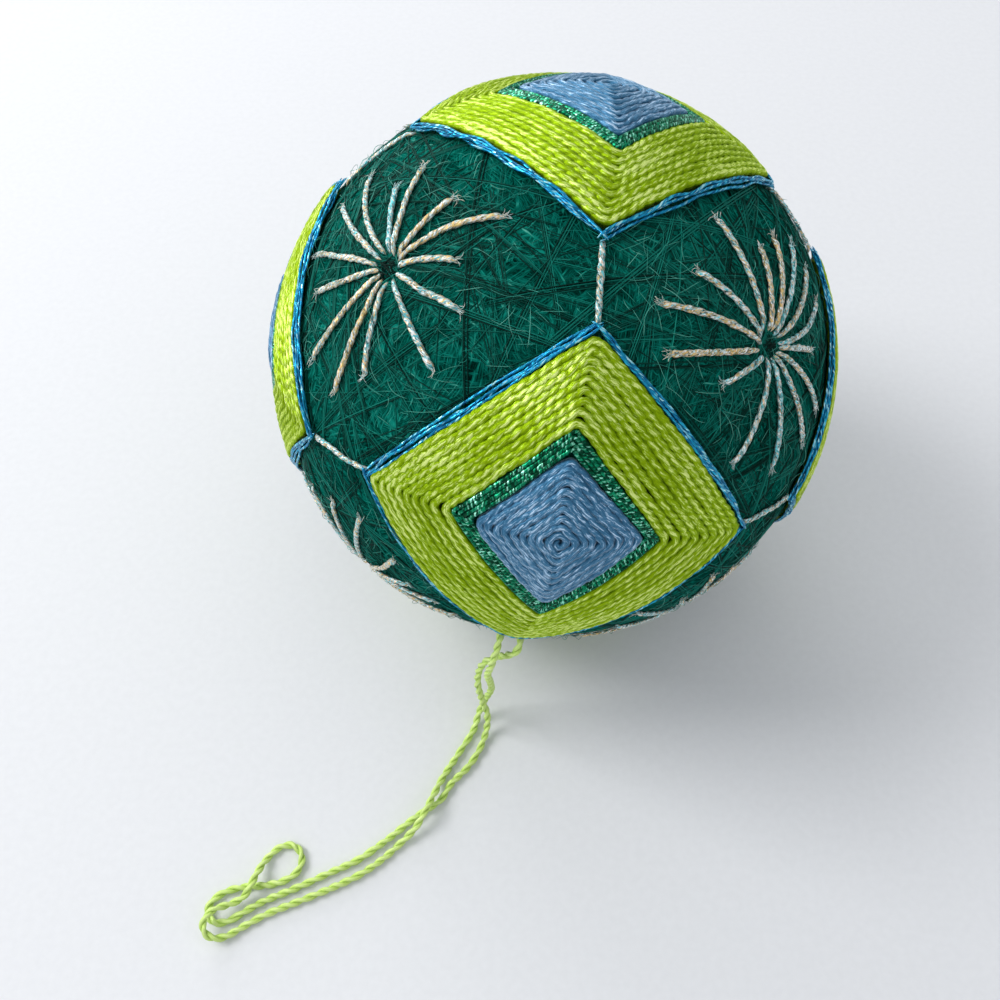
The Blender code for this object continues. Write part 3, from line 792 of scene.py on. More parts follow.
def ground_material(look):
    """Fine dark thread wound every way round the ball, with painted shade between its threads and
    painted light on the raised ones.
    """
    material, tree, shader = new_material("wound_ground_thread")
    spot = add_node(tree, "ShaderNodeTexCoord").outputs["Object"]
    place = vector_node(tree, "SUBTRACT", spot, tuple(BALL_CENTRE))
    place = vector_node(tree, "NORMALIZE", place)
    bend = add_node(tree, "ShaderNodeTexNoise", {"Vector": place, "Scale": 7.0, "Detail": 2.0})
    bend = vector_node(tree, "SUBTRACT", bend.outputs["Color"], (0.5, 0.5, 0.5))
    bent = vector_node(tree, "ADD", place, scale_vector(tree, bend, 0.06))
    first, first_shade = winding_layer(tree, bent, 4.2, 3.1, look.thread_count)
    second, second_shade = winding_layer(tree, bent, 6.5, 8.7, look.thread_count * 0.8)
    third, _ = winding_layer(tree, bent, 9.0, 15.3, look.thread_count * 1.2)
    relief = math_node(tree, "MAXIMUM", first, second)
    relief = math_node(tree, "MAXIMUM", relief, third)
    level = weighted_sum(
        tree, -0.48 * RELIEF_CONTRAST, (relief, RELIEF_CONTRAST), (first_shade, PATCH_SHADE),
        (second_shade, PATCH_SHADE),
    )
    # Low relief gets the shadow colour as painted shade between threads; high relief gets the lit and
    # fibre colours as painted light on raised thread.
    colour = ramp_node(
        tree, level, ((0.0, look.shadow), (0.3, look.body), (0.72, look.lit), (1.0, look.fibre))
    )
    tree.links.new(colour, shader.inputs["Base Color"])
    shader.inputs["Roughness"].default_value = 0.8
    shader.inputs["Specular IOR Level"].default_value = 0.0
    bump = add_node(
        tree, "ShaderNodeBump", {"Height": relief, "Strength": 0.9, "Distance": 0.5 * MM}
    )
    tree.links.new(bump.outputs["Normal"], shader.inputs["Normal"])
    return material


def fibre_material(name, dark, middle, pale):
    """Loose fibres and single wound threads, from dark to pale by thread."""
    material, tree, shader = new_material(name)
    place, tone = thread_coordinates(tree, 1.0, 0.8)
    streaks = add_node(tree, "ShaderNodeTexNoise", {"Vector": place, "Scale": 1.5, "Detail": 3.0})
    level = weighted_sum(tree, 0.0, (tone, 0.7), (streaks.outputs["Fac"], 0.5))
    colour = ramp_node(tree, level, ((0.2, dark), (0.55, middle), (0.95, pale)))
    tree.links.new(colour, shader.inputs["Base Color"])
    shader.inputs["Roughness"].default_value = 0.6
    shader.inputs["Specular IOR Level"].default_value = 0.1
    return material


def colour_property(name, description, default):
    return FloatVectorProperty(
        name=name, description=description, default=default, subtype="COLOR", min=0.0, max=1.0
    )


def length_property(name, description, size_mm):
    return FloatProperty(
        name=name, description=description, default=size_mm * MM, unit="LENGTH"
    )


def number_property(name, description, default):
    return FloatProperty(name=name, description=description, default=default)


def count_property(name, description, default):
    return IntProperty(name=name, description=description, default=default, min=1)


class TEMARI_PG_lime(bpy.types.PropertyGroup):
    rows: count_property("Rows", "Rows of thread in a band", 9)
    twist: length_property("Twist", "Length of one full twist", 2.8)
    ply_width: length_property("Ply width", "Of one ply", 1.0)
    ply_height: length_property("Ply height", "From its middle up", 0.30)
    ply_swing: length_property("Swing", "How far a ply moves aside", 0.12)
    # Groove is painted shade between the plies; crest and gleam are painted highlights on the crests,
    # and gleam also tints the gloss. Body is the thread's own colour.
    groove: colour_property("Groove", "Colour between the plies", (0.030, 0.066, 0.0003))
    body: colour_property("Body", "Colour of the thread", (0.134, 0.234, 0.0010))
    crest: colour_property("Crest", "Colour of the plies' crests", (0.330, 0.510, 0.005))
    gleam: colour_property("Gleam", "Colour of the brightest fibres", (0.800, 0.940, 0.300))
    ply_contrast: number_property("Ply contrast", "Shade by ply", 0.9)
    fibre_contrast: number_property("Fibre contrast", "Shade by fibre", 0.7)
    shade_level: number_property("Shade", "Darkens the thread", 0.50)
    roughness: number_property("Roughness", "Surface roughness", 0.42)
    satin: number_property("Satin", "Strength of the thread's gloss", 0.35)
    lustre: number_property("Lustre", "Strength of the coloured gleam", 0.78)
    sheen: number_property("Sheen", "Soft sheen of cotton", 0.10)


class TEMARI_PG_blue(bpy.types.PropertyGroup):
    rows: count_property("Rows", "Rows from the middle out", 10)
    twist: length_property("Twist", "Length of one full twist", 3.2)
    ply_width: length_property("Ply width", "Of one ply", 0.84)
    ply_height: length_property("Ply height", "From its middle up", 0.24)
    ply_swing: length_property("Swing", "How far a ply moves aside", 0.11)
    crown: length_property("Crown", "Rise of the square's middle", 0.7)
    # Groove is painted shade between the plies; crest and gleam are painted highlights on the crests,
    # and gleam also tints the gloss and sheen. Body is the thread's own colour.
    groove: colour_property("Groove", "Colour between the plies", (0.002, 0.042, 0.120))
    body: colour_property("Body", "Colour of the thread", (0.010, 0.098, 0.198))
    crest: colour_property("Crest", "Colour of the plies' crests", (0.070, 0.235, 0.410))
    gleam: colour_property("Gleam", "Colour of the brightest fibres", (0.560, 0.760, 0.960))
    ply_contrast: number_property("Ply contrast", "Shade by ply", 0.7)
    fibre_contrast: number_property("Fibre contrast", "Shade by fibre", 1.1)
    shade_level: number_property("Shade", "Darkens the thread", 0.62)
    roughness: number_property("Roughness", "Surface roughness", 0.36)
    satin: number_property("Satin", "Strength of the thread's gloss", 0.9)
    lustre: number_property("Lustre", "Strength of the coloured gleam", 0.5)
    sheen: number_property("Sheen", "Soft sheen of cotton", 1.0)


class TEMARI_PG_frame(bpy.types.PropertyGroup):
    strands: count_property("Strands", "In the two rows", 4)
    twist: length_property("Twist", "Length of one full twist", 1.0)
    # Shadow is painted shade, bright and glint are painted highlights and glints, body is the braid's
    # own colour.
    shadow: colour_property("Shadow", "Darkest facets", (0.0001, 0.014, 0.006))
    body: colour_property("Body", "Most facets", (0.0003, 0.050, 0.022))
    bright: colour_property("Bright", "Bright facets", (0.004, 0.340, 0.160))
    glint: colour_property("Glint", "Sparkling facets", (0.450, 1.000, 0.800))
    sheen: number_property("Sheen", "Gleam seen aslant", 0.5)
    fleck_across: number_property("Fleck width", "Facets around", 1.0)
    fleck_along: number_property("Fleck length", "Facets per mm", 2.2)
    facet_tilt: number_property("Facet tilt", "How much facets lean", 0.4)
    metallic: number_property("Metallic", "Metallic share", 0.9)
    roughness: number_property("Roughness", "Surface roughness", 0.32)
    streak: number_property("Streak", "How narrow it gleams along it", 0.6)
    lobe_contrast: number_property("Lobes", "Shade by turn", 0.5)


class TEMARI_PG_outline(bpy.types.PropertyGroup):
    strands: count_property("Strands", "Strands on each side", 4)
    thickness: length_property("Thickness", "Of one strand", 0.4)
    twist: length_property("Twist", "Length of one full twist", 1.8)
    # Shadow is painted shade, bright and glint are painted highlights and glints, body is the
    # strand's own colour.
    shadow: colour_property("Shadow", "Darkest facets", (0.0005, 0.060, 0.170))
    body: colour_property("Body", "Most facets", (0.001, 0.190, 0.400))
    bright: colour_property("Bright", "Bright facets", (0.020, 0.480, 0.720))
    glint: colour_property("Glint", "Sparkling facets", (0.550, 0.960, 1.000))
    sheen: number_property("Sheen", "Gleam seen aslant", 0.2)
    fleck_across: number_property("Fleck width", "Facets around", 1.1)
    fleck_along: number_property("Fleck length", "Facets per mm", 1.2)
    facet_tilt: number_property("Facet tilt", "How much facets lean", 0.7)
    metallic: number_property("Metallic", "Metallic share", 0.75)
    roughness: number_property("Roughness", "Surface roughness", 0.3)
    streak: number_property("Streak", "How narrow it gleams along it", 0.4)
    lobe_contrast: number_property("Lobes", "Shade by turn", 0.25)


class TEMARI_PG_braid(bpy.types.PropertyGroup):
    width: length_property("Width", "Of a stitch at its middle", 0.80)
    twist: length_property("Twist", "Length of one full twist", 2.6)
    # Shadow is painted shade, bright and glint are painted highlights and glints, body is the braid's
    # own colour.
    shadow: colour_property("Shadow", "Darkest facets", (0.020, 0.045, 0.038))
    body: colour_property("Body", "Most facets", (0.500, 0.620, 0.590))
    bright: colour_property("Bright", "Bright facets", (0.920, 1.000, 1.000))
    glint: colour_property("Glint", "Sparkling facets", (1.000, 1.000, 1.000))
    sheen: number_property("Sheen", "Gleam seen aslant", 0.2)
    cool_tint: colour_property("Cool tint", "Tint of the coolest stretches", (0.160, 0.700, 0.780))
    warm_tint: colour_property("Warm tint", "Tint of the warmest stretches", (0.900, 0.560, 0.200))
    fleck_across: number_property("Fleck width", "Facets around", 2.8)
    fleck_along: number_property("Fleck length", "Facets per mm", 3.6)
    facet_tilt: number_property("Facet tilt", "How much facets lean", 0.9)
    metallic: number_property("Metallic", "Metallic share", 0.3)
    roughness: number_property("Roughness", "Surface roughness", 0.36)
    streak: number_property("Streak", "How narrow it gleams along it", 0.0)
    lobe_contrast: number_property("Lobes", "Shade by turn", 0.25)
    pink_tint: colour_property("Pink tint", "Tint between silver and gold", (1.0, 0.74, 0.64))


class TEMARI_PG_ground(bpy.types.PropertyGroup):
    wound_threads: count_property("Threads", "Pulls of thread on top", 1150)
    thread_width: length_property("Thread", "Width of a wound thread", 0.17)
    tufts: count_property("Tufts", "Patches of raised fibres", 420)
    tuft_hairs: count_property("Hairs", "Raised fibres in a patch", 13)
    curls: count_property("Curls", "Loose hairs that curl", 260)
    thread_count: number_property("Fineness", "Wound threads across one radius of the ball", 190.0)
    # Shadow is painted shade between the threads and lit is painted light on raised thread; fibre is
    # partly painted light on the highest threads and partly the pale colour of loose fibres. On
    # single threads and hairs they are random tones.
    shadow: colour_property("Shadow", "Between the threads", (0.0001, 0.0110, 0.0080))
    body: colour_property("Body", "Most of the thread", (0.0004, 0.0640, 0.0460))
    lit: colour_property("Lit", "Raised thread", (0.0060, 0.2300, 0.1750))
    fibre: colour_property("Fibre", "Palest fibres", (0.1300, 0.4400, 0.3500))


class TEMARI_PG_loop(bpy.types.PropertyGroup):
    diameter: length_property("Diameter", "Of the cord", 1.1)
    twist: length_property("Twist", "Length of one full twist", 3.6)
    # Groove is painted shade where the plies meet; crest and gleam are painted highlights on their
    # outer sides, and gleam also tints the gloss. Body is the cord's own colour.
    groove: colour_property("Groove", "Colour between the plies", (0.190, 0.350, 0.020))
    body: colour_property("Body", "Colour of the thread", (0.520, 0.730, 0.150))
    crest: colour_property("Crest", "Colour of the plies' crests", (0.720, 0.900, 0.330))
    gleam: colour_property("Gleam", "Colour of the brightest fibres", (0.880, 0.960, 0.560))
    ply_contrast: number_property("Ply contrast", "Shade by ply", 0.6)
    fibre_contrast: number_property("Fibre contrast", "Shade by fibre", 0.5)
    shade_level: number_property("Shade", "Darkens the thread", 0.35)
    roughness: number_property("Roughness", "Surface roughness", 0.42)
    satin: number_property("Satin", "Strength of the thread's gloss", 0.6)
    lustre: number_property("Lustre", "Strength of the coloured gleam", 0.15)
    sheen: number_property("Sheen", "Soft sheen of cotton", 0.15)


class TEMARI_PG_stage(bpy.types.PropertyGroup):
    paper: colour_property("Paper", "Colour of the floor", (0.740, 0.746, 0.766))
    sky: colour_property("Sky", "Colour of the soft light from all round", (0.930, 0.960, 1.000))
    sky_strength: number_property("Sky", "Strength of that light", 0.65)
    soft_box: number_property("Soft box", "Its power, in watts", 2.2)
    window: number_property("Window", "Its power, in watts", 5.2)
    back_window: number_property("Back window", "Its power, in watts", 3.6)


class TEMARI_PG_ball(bpy.types.PropertyGroup):
    lime: PointerProperty(type=TEMARI_PG_lime)
    blue: PointerProperty(type=TEMARI_PG_blue)
    frame: PointerProperty(type=TEMARI_PG_frame)
    outline: PointerProperty(type=TEMARI_PG_outline)
    braid: PointerProperty(type=TEMARI_PG_braid)
    ground: PointerProperty(type=TEMARI_PG_ground)
    loop: PointerProperty(type=TEMARI_PG_loop)
    stage: PointerProperty(type=TEMARI_PG_stage)


# Stage

CAMERA_PLACE_MM = (-7.0, -84.7, 147.8)
CAMERA_TILT_DEG = 30.0
CAMERA_LENS_MM = 36.0
FLOOR_SIZE = 6.0
# The lights, each seen from the ball: x, y, z of its direction, distance and side in metres
LIGHTS = {
    "soft_box": ((-0.25, 0.25, 0.93), 1.3, 2.2),
    "window": ((-0.72, 0.14, 0.67), 0.9, 0.42),
    "back_window": ((-0.40, 0.86, 0.32), 1.1, 0.5),
}


class TEMARI_OT_stage(bpy.types.Operator):
    """Sets up the camera, the paper floor and the soft light"""

    bl_idname = "temari.stage"
    bl_label = "Stage"

    def execute(self, context):
        look = context.scene.temari.stage
        camera = bpy.data.objects.new("camera", bpy.data.cameras.new("camera"))
        camera.location = [place * MM for place in CAMERA_PLACE_MM]
        camera.rotation_euler = (math.radians(CAMERA_TILT_DEG), 0, 0)
        camera.data.lens = CAMERA_LENS_MM
        camera.data.sensor_width = 36.0
        camera.data.clip_start = 0.005
        camera.data.clip_end = 20.0
        context.scene.collection.objects.link(camera)
        context.scene.camera = camera
        self.add_floor(context, look)
        self.add_light(context, look)
        context.scene.view_settings.view_transform = "Standard"
        return {"FINISHED"}

    def add_floor(self, context, look):
        bpy.ops.mesh.primitive_plane_add(size=FLOOR_SIZE, location=(0, 0, -0.02 * MM))
        floor = context.object
        floor.name = "paper_floor"
        material, tree, shader = new_material("paper")
        spot = add_node(tree, "ShaderNodeTexCoord").outputs["Object"]
        grain = add_node(tree, "ShaderNodeTexNoise", {"Vector": spot, "Scale": 900.0})
        darker = tuple(0.97 * channel for channel in look.paper)
        colour = ramp_node(tree, grain.outputs["Fac"], ((0.3, darker), (0.7, look.paper)))
        tree.links.new(colour, shader.inputs["Base Color"])
        shader.inputs["Roughness"].default_value = 0.85
        floor.data.materials.append(material)

    def add_light(self, context, look):
        world = bpy.data.worlds.new("soft_room")
        world.use_nodes = True
        background = world.node_tree.nodes["Background"]
        background.inputs["Color"].default_value = (*look.sky, 1.0)
        background.inputs["Strength"].default_value = look.sky_strength
        context.scene.world = world
        for name, (direction, distance, size) in LIGHTS.items():
            light = bpy.data.lights.new(name, "AREA")
            light.size = size
            light.energy = getattr(look, name)
            lamp = bpy.data.objects.new(name, light)
            toward = Vector(direction).normalized()
            lamp.location = Vector(BALL_CENTRE) + toward * distance
            lamp.rotation_euler = toward.to_track_quat("Z", "Y").to_euler()
            context.scene.collection.objects.link(lamp)


# Hanging loop


def smooth_route(points, substeps=16):
    """A dense line through every given point, turning smoothly at each (a Catmull-Rom curve)."""
    padded = np.vstack([2 * points[0] - points[1], points, 2 * points[-1] - points[-2]])
    t = (np.arange(substeps) / substeps)[:, None]
    dense = []
    for a, b, c, d in zip(padded, padded[1:], padded[2:], padded[3:]):
        square_term = 2 * a - 5 * b + 4 * c - d
        cube_term = 3 * b - a - 3 * c + d
        dense.append(b + ((c - a) + (square_term + cube_term * t) * t) * (t / 2))
    return np.vstack([*dense, points[-1:]])


class TEMARI_OT_hanging_loop(bpy.types.Operator):
    """Twists the two-ply cord of the hanging loop along its route"""

    bl_idname = "temari.hanging_loop"
    bl_label = "Hanging loop"

    def execute(self, context):
        look = context.scene.temari.loop
        route = smooth_route(np.array(CORD_ROUTE_MM) * MM)
        route[:, 2] = np.maximum(route[:, 2], look.diameter / 2)
        path, run, total = evenly(route, 0.35 * MM, substeps=4)
        rng = np.random.default_rng(5)
        turns = turns_along(rng, run, total, look.twist, False)
        normals, binormals = free_frame(path)
        radius = look.diameter * 0.29
        swing = look.diameter / 2 - radius
        bundle = Bundle()
        for ply in (0.0, math.pi):
            turn = (turns + ply)[:, None]
            middle = path + swing * (normals * np.cos(turn) + binormals * np.sin(turn))
            rings = tube_rings(middle, radius, ROUND)
            rings[..., 2] = np.maximum(rings[..., 2], 0.0)
            # lift is how far out from the cord's middle a point lies; the cotton colours turn it into
            # painted shade where the plies meet and a painted highlight on their outer sides.
            lift = np.linalg.norm(rings - path[:, None], axis=-1) / (look.diameter / 2)
            fibre = fibre_coordinates(ROUND, 0.0, run + ply * 0.1)
            bundle.add(rings, fibre, lift, 0.5, False)
        cord = join_bundle("twisted_hanging_loop", bundle, cotton_material("loop_cotton", look))
        dress(cord, ["hanging_loop"])
        return {"FINISHED"}


# Ground


def under_square(directions, reach=SQUARE_COVER):
    """Whether each direction lies under one of the stitched squares."""
    size = np.sort(np.abs(unit(directions)), axis=1)
    return (size[:, 0] + size[:, 1]) / size[:, 2] < reach


def open_stretch(path):
    """The part of a path round its middle that no square covers."""
    covered = under_square(path)
    middle = len(path) // 2
    if covered[middle]:
        return path[:0]
    before = np.flatnonzero(covered[:middle])
    after = np.flatnonzero(covered[middle:])
    first = before[-1] if len(before) else 0
    last = middle + after[0] if len(after) else len(path) - 1
    return path[first : last + 1]


def star_frame(name):
    """A starburst's middle, its ways toward the pole and anticlockwise, and its eye's shift."""
    middle = unit(np.array(STAR_MIDDLES[name]))
    pole = AXES["top" if name.endswith("top") else "bottom"]
    along = unit(pole - middle * pole.dot(middle))
    across = np.cross(middle, along)
    eye = STAR_EYES_MM.get(name, (0, 0))
    return middle, along, across, (along * eye[0] + across * eye[1]) * MM / BALL_RADIUS


def great_circle(rng):
    """A random spot near a starburst and a random way along the ball from it."""
    middles = list(STAR_MIDDLES.values())
    spot = unit(np.array(middles[rng.integers(len(middles))]) + rng.normal(size=3) * STAR_SPREAD)
    way = rng.normal(size=3)
    return spot, unit(way - spot * way.dot(spot))


class TEMARI_OT_ground(bpy.types.Operator):
    """Winds the dark ground thread round the ball and lets loose hairs stand from it"""

    bl_idname = "temari.ground"
    bl_label = "Wound ground"

    def execute(self, context):
        look = context.scene.temari.ground
        bpy.ops.mesh.primitive_ico_sphere_add(
            subdivisions=6, radius=BALL_RADIUS, location=tuple(BALL_CENTRE)
        )
        ball = context.object
        ball.name = "wound_ground"
        bpy.ops.object.transform_apply(location=True, rotation=True, scale=True)
        ball.data.shade_smooth()
        ball.data.materials.append(ground_material(look))
        dress(ball, ["wound_ball"])
        rng = np.random.default_rng(11)
        threads = Bundle()
        for _ in range(look.wound_threads):
            self.wind_thread(threads, look, rng)
        for name in STAR_MIDDLES:
            self.darken_eye(threads, name, look, rng)
        material = fibre_material("wound_single_thread", look.shadow, look.body, look.lit)
        wound = join_bundle("wound_threads", threads, material)
        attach(wound, "root")
        hairs = Bundle()
        for _ in range(look.tufts):
            self.comb_tuft(hairs, look.tuft_hairs, rng)
        for _ in range(look.curls):
            spot, way = great_circle(rng)
            self.curl_hair(hairs, spot, way, 0.35, rng)
        material = fibre_material("loose_fibre", look.body, look.lit, look.fibre)
        loose = join_bundle("loose_hairs", hairs, material)
        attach(loose, "root")
        return {"FINISHED"}

    def wind_thread(self, bundle, look, rng):
        """One thread, or two or three side by side, pulled straight over the ball."""
        spot, way = great_circle(rng)
        reach = rng.uniform(*PULL_REACH)
        turns = np.arange(-reach, reach, WOUND_STEP / BALL_RADIUS)
        side = np.cross(spot, way)
        lie = BALL_RADIUS + rng.uniform(*WOUND_LIE_MM) * MM
        half = look.thread_width / 2
        for k in range(rng.choice((1, 1, 2, 3, 4))):
            apart = (k * rng.uniform(1.0, 1.8) * look.thread_width) / BALL_RADIUS
            path = np.cos(turns)[:, None] * spot + np.sin(turns)[:, None] * way + side * apart
            path = open_stretch(unit(path))
            if len(path) < 4:
                continue
            run = np.arange(len(path)) * WOUND_STEP
            kind = {"pitch": 1.0, "depth": 0.0, "profile": THIN, "taper": 2 * MM}
            lay_strand(bundle, path, run, run[-1], lie, half, half, rng, **kind)

    def darken_eye(self, bundle, name, look, rng):
        """Short dark threads that cross in the eye of a starburst, as painted shade in the eye."""
        middle, along, across, eye = star_frame(name)
        middle = unit(middle + eye)
        half = look.thread_width / 2
        for _ in range(EYE_THREADS):
            turn = rng.uniform(0, math.pi)
            way = along * math.cos(turn) + across * math.sin(turn)
            beside = np.cross(middle, way) * rng.normal(0, 0.5)
            share = np.linspace(-EYE_THREAD_REACH_MM, EYE_THREAD_REACH_MM, 5)[:, None]
            path = unit(middle + (way * share + beside) * MM / BALL_RADIUS)
            run = (share[:, 0] + EYE_THREAD_REACH_MM) * MM
            lie = BALL_RADIUS + rng.uniform(0.05, 0.2) * MM
            kind = {"pitch": 1.0, "depth": 0.0, "profile": THIN, "taper": 0.4 * MM, "tone": 0.0}
            lay_strand(bundle, path, run, run[-1], lie, half * 1.5, half, rng, **kind)

    def comb_tuft(self, bundle, count, rng):
        """A patch of short fibres that all lie much the same way."""
        spot, way = great_circle(rng)
        for _ in range(count):
            start = unit(spot + rng.normal(size=3) * 2.2 * MM / BALL_RADIUS)
            along = unit(way + rng.normal(size=3) * 0.22)
            along = unit(along - start * along.dot(start))
            self.curl_hair(bundle, start, along, 0.05, rng)

    def curl_hair(self, bundle, spot, way, curl, rng):
        """One fine hair over the ground, a little off it."""
        count = rng.integers(4, 9)
        bend = rng.normal(0, curl)
        step = rng.uniform(0.25, 0.6) * MM / BALL_RADIUS
        path = [spot]
        for _ in range(count):
            side = np.cross(path[-1], way)
            way = unit(way * math.cos(bend) + side * math.sin(bend))
            bend += rng.normal(0, curl / 2)
            path.append(unit(path[-1] + way * step))
        path = np.array(path)
        if under_square(path, HAIR_COVER).any():
            return
        share = np.linspace(0, 1, len(path))
        lifted = share**2 if rng.uniform() < 0.5 else np.sin(share * math.pi)
        rise = lifted * rng.uniform(0.0, 1.0) ** 3 * HAIR_RISE
        points = on_ball(path, BALL_RADIUS + HAIR_LIE + rise)
        add_hair(bundle, points, rng.uniform(*HAIR_RADII_MM) * MM, rng.uniform())


# Stitched squares


class TEMARI_OT_lime_bands(bpy.types.Operator):
    """Lays the rows of twisted lime cotton in each square's band"""

    bl_idname = "temari.lime_bands"
    bl_label = "Lime bands"

    def execute(self, context):
        look = context.scene.temari.lime
        material = cotton_material("lime_cotton", look)
        for seed, square in enumerate(SQUARES.values()):
            rng = np.random.default_rng(100 + seed)
            bundle = Bundle()
            for row in range(look.rows):
                self.lay_row(bundle, square, row, look, rng)
            for points in bundle.points:
                points[:, 2] = np.maximum(points[:, 2], 0.0)
            band = join_bundle(f"lime_rows_{square.name}", bundle, material)
            dress(band, [f"lime_band_{square.name}"])
        return {"FINISHED"}

    def lay_row(self, bundle, square, row, look, rng):
        fillet, step, aside, rise = (size * MM for size in ROW_LAYS_MM["lime"])
        outer = inset(square.outline, flat_step(LIME_MARGIN))
        inner = inset(square.frame, -flat_step(FRAME_MARGIN))
        share = (row + 0.5) / look.rows
        corners = inner + (outer - inner) * share
        path, run, total = square_row(square, corners, fillet, step)
        path = drift_aside(path, run, total, True, aside, rng)
        lie = THREAD_RADIUS - look.ply_height - look.ply_swing / 2
        lie = lie + wander(rng, run, total, rise, RISE_WAVE)
        lay_plies(bundle, path, run, total, lie, look, rng)


def square_offsets(square, path):
    """The path in the square's flat layout."""
    depth = path @ square.axis
    return np.stack((path @ square.along / depth, path @ square.across / depth), 1)


class TEMARI_OT_blue_middles(bpy.types.Operator):
    """Winds the crowned blue spiral in the middle of each square"""

    bl_idname = "temari.blue_middles"
    bl_label = "Blue middles"

    def execute(self, context):
        look = context.scene.temari.blue
        material = cotton_material("blue_cotton", look)
        for seed, square in enumerate(SQUARES.values()):
            rng = np.random.default_rng(200 + seed)
            bundle = Bundle()
            outer = inset(square.middle, flat_step(MIDDLE_MARGIN))
            heart = outer.mean(0)
            spokes = outer - heart
            last = 4 * (look.rows - 1) - 2
            shares = [(k / 4 + 0.25) / look.rows for k in range(last)]
            spiral = np.array([heart + spokes[k % 4] * share for k, share in enumerate(shares)])
            self.lay_row(bundle, square, heart, spokes, spiral, False, look, rng)
            for row in (look.rows - 1.5, look.rows - 0.5):
                ring = heart + spokes * (row / look.rows)
                self.lay_row(bundle, square, heart, spokes, ring, True, look, rng)
            middle = join_bundle(f"blue_rows_{square.name}", bundle, material)
            dress(middle, [f"blue_middle_{square.name}"])
        return {"FINISHED"}

    def lay_row(self, bundle, square, heart, spokes, corners, closed, look, rng):
        fillet, step, aside, rise = (size * MM for size in ROW_LAYS_MM["blue"])
        path, run, total = square_row(square, corners, fillet, step, closed)
        path = drift_aside(path, run, total, closed, aside, rng)
        offsets = square_offsets(square, path) - heart
        share = np.abs(offsets).sum(1) / np.abs(spokes).sum(1).mean()
        lie = THREAD_RADIUS + look.crown * (1 - np.clip(share, 0, 1) ** 2)
        lie = lie - look.ply_height - look.ply_swing / 2
        lie = lie + wander(rng, run, total, rise, RISE_WAVE)
        lay_plies(bundle, path, run, total, lie, look, rng, closed, 0 if closed else 1.2 * MM)


class TEMARI_OT_green_frames(bpy.types.Operator):
    """Lays two rows of dark metallic braid round each blue middle"""

    bl_idname = "temari.green_frames"
    bl_label = "Green frames"

    def execute(self, context):
        look = context.scene.temari.frame
        material = metallic_material("green_metallic_braid", look)
        fillet, step, aside, rise = (size * MM for size in ROW_LAYS_MM["frame"])
        for seed, square in enumerate(SQUARES.values()):
            rng = np.random.default_rng(300 + seed)
            bundle = Bundle()
            outer = inset(square.frame, flat_step(FRAME_MARGIN))
            inner = inset(square.middle, -flat_step(FRAME_MARGIN))
            for strand in range(look.strands):
                share = (strand + 0.5) / look.strands
                corners = inner + (outer - inner) * share
                path, run, total = square_row(square, corners, fillet, step)
                path = drift_aside(path, run, total, True, aside, rng)
                lie = THREAD_RADIUS - FRAME_HEIGHT - 0.02 * MM
                lie = lie + wander(rng, run, total, rise, 3 * MM)
                lay_strand(
                    bundle, path, run, total, lie, FRAME_HALF_WIDTH, FRAME_HEIGHT, rng,
                    pitch=look.twist, depth=0.16, closed=True, profile=FINE_LYING, skirt=True,
                )
            braid = join_bundle(f"green_braid_{square.name}", bundle, material)
            dress(braid, [f"green_frame_{square.name}"])
        return {"FINISHED"}


class TEMARI_OT_blue_outlines(bpy.types.Operator):
    """Stitches fine metallic strands round each square, crossing at its corners"""

    bl_idname = "temari.blue_outlines"
    bl_label = "Blue outlines"

    def execute(self, context):
        look = context.scene.temari.outline
        material = metallic_material("blue_metallic_strand", look)
        for seed, square in enumerate(SQUARES.values()):
            rng = np.random.default_rng(400 + seed)
            bundle = Bundle()
            for side in range(4):
                for strand in range(look.strands):
                    self.stitch_side(bundle, square, side, strand, look, rng)
            line = join_bundle(f"blue_strands_{square.name}", bundle, material)
            dress(line, [f"blue_outline_{square.name}"])
        return {"FINISHED"}

    def stitch_side(self, bundle, square, side, strand, look, rng):
        here = square.outline[side]
        there = square.outline[(side + 1) % 4]
        way = (there - here) / np.linalg.norm(there - here)
        inward = np.array((-way[1], way[0]))
        middle = (look.strands - 1) / 2
        aside = (strand - middle) * STRAND_SPACING
        ends = []
        for end, sign in ((here, -1), (there, 1)):
            past = rng.uniform(*PAST_CORNER_MM) * MM * sign
            off = aside * rng.uniform(-0.6, 0.8) + rng.normal(0, 0.08) * MM
            ends.append(end + way * flat_step(past) + inward * flat_step(off))
        bow = (ends[0] + ends[1]) / 2 + inward * flat_step(aside + rng.normal(0, 0.1) * MM)
        share = np.linspace(0, 1, 25)[:, None]
        flat = ends[0] * (1 - share) + ends[1] * share
        flat = flat + (bow - (ends[0] + ends[1]) / 2) * np.sin(share * math.pi) ** 0.7
        step = 0.35 * MM / THREAD_RADIUS
        path, run, total = evenly(unit(square.directions(flat)), step, substeps=6)
        run, total = run * THREAD_RADIUS, total * THREAD_RADIUS
        path = drift_aside(unit(path), run, total, False, 0.15 * MM, rng)
        half = look.thickness / 2
        level = OUTLINE_RADIUS + (strand - middle) * STRAND_RISE
        lie = level + wander(rng, run, total, 0.07 * MM, RISE_WAVE)
        lay_strand(
            bundle, path, run, total, lie, half, half, rng,
            pitch=look.twist, depth=0.3, profile=FINE_LYING, taper=0.8 * MM,
        )


# White braid


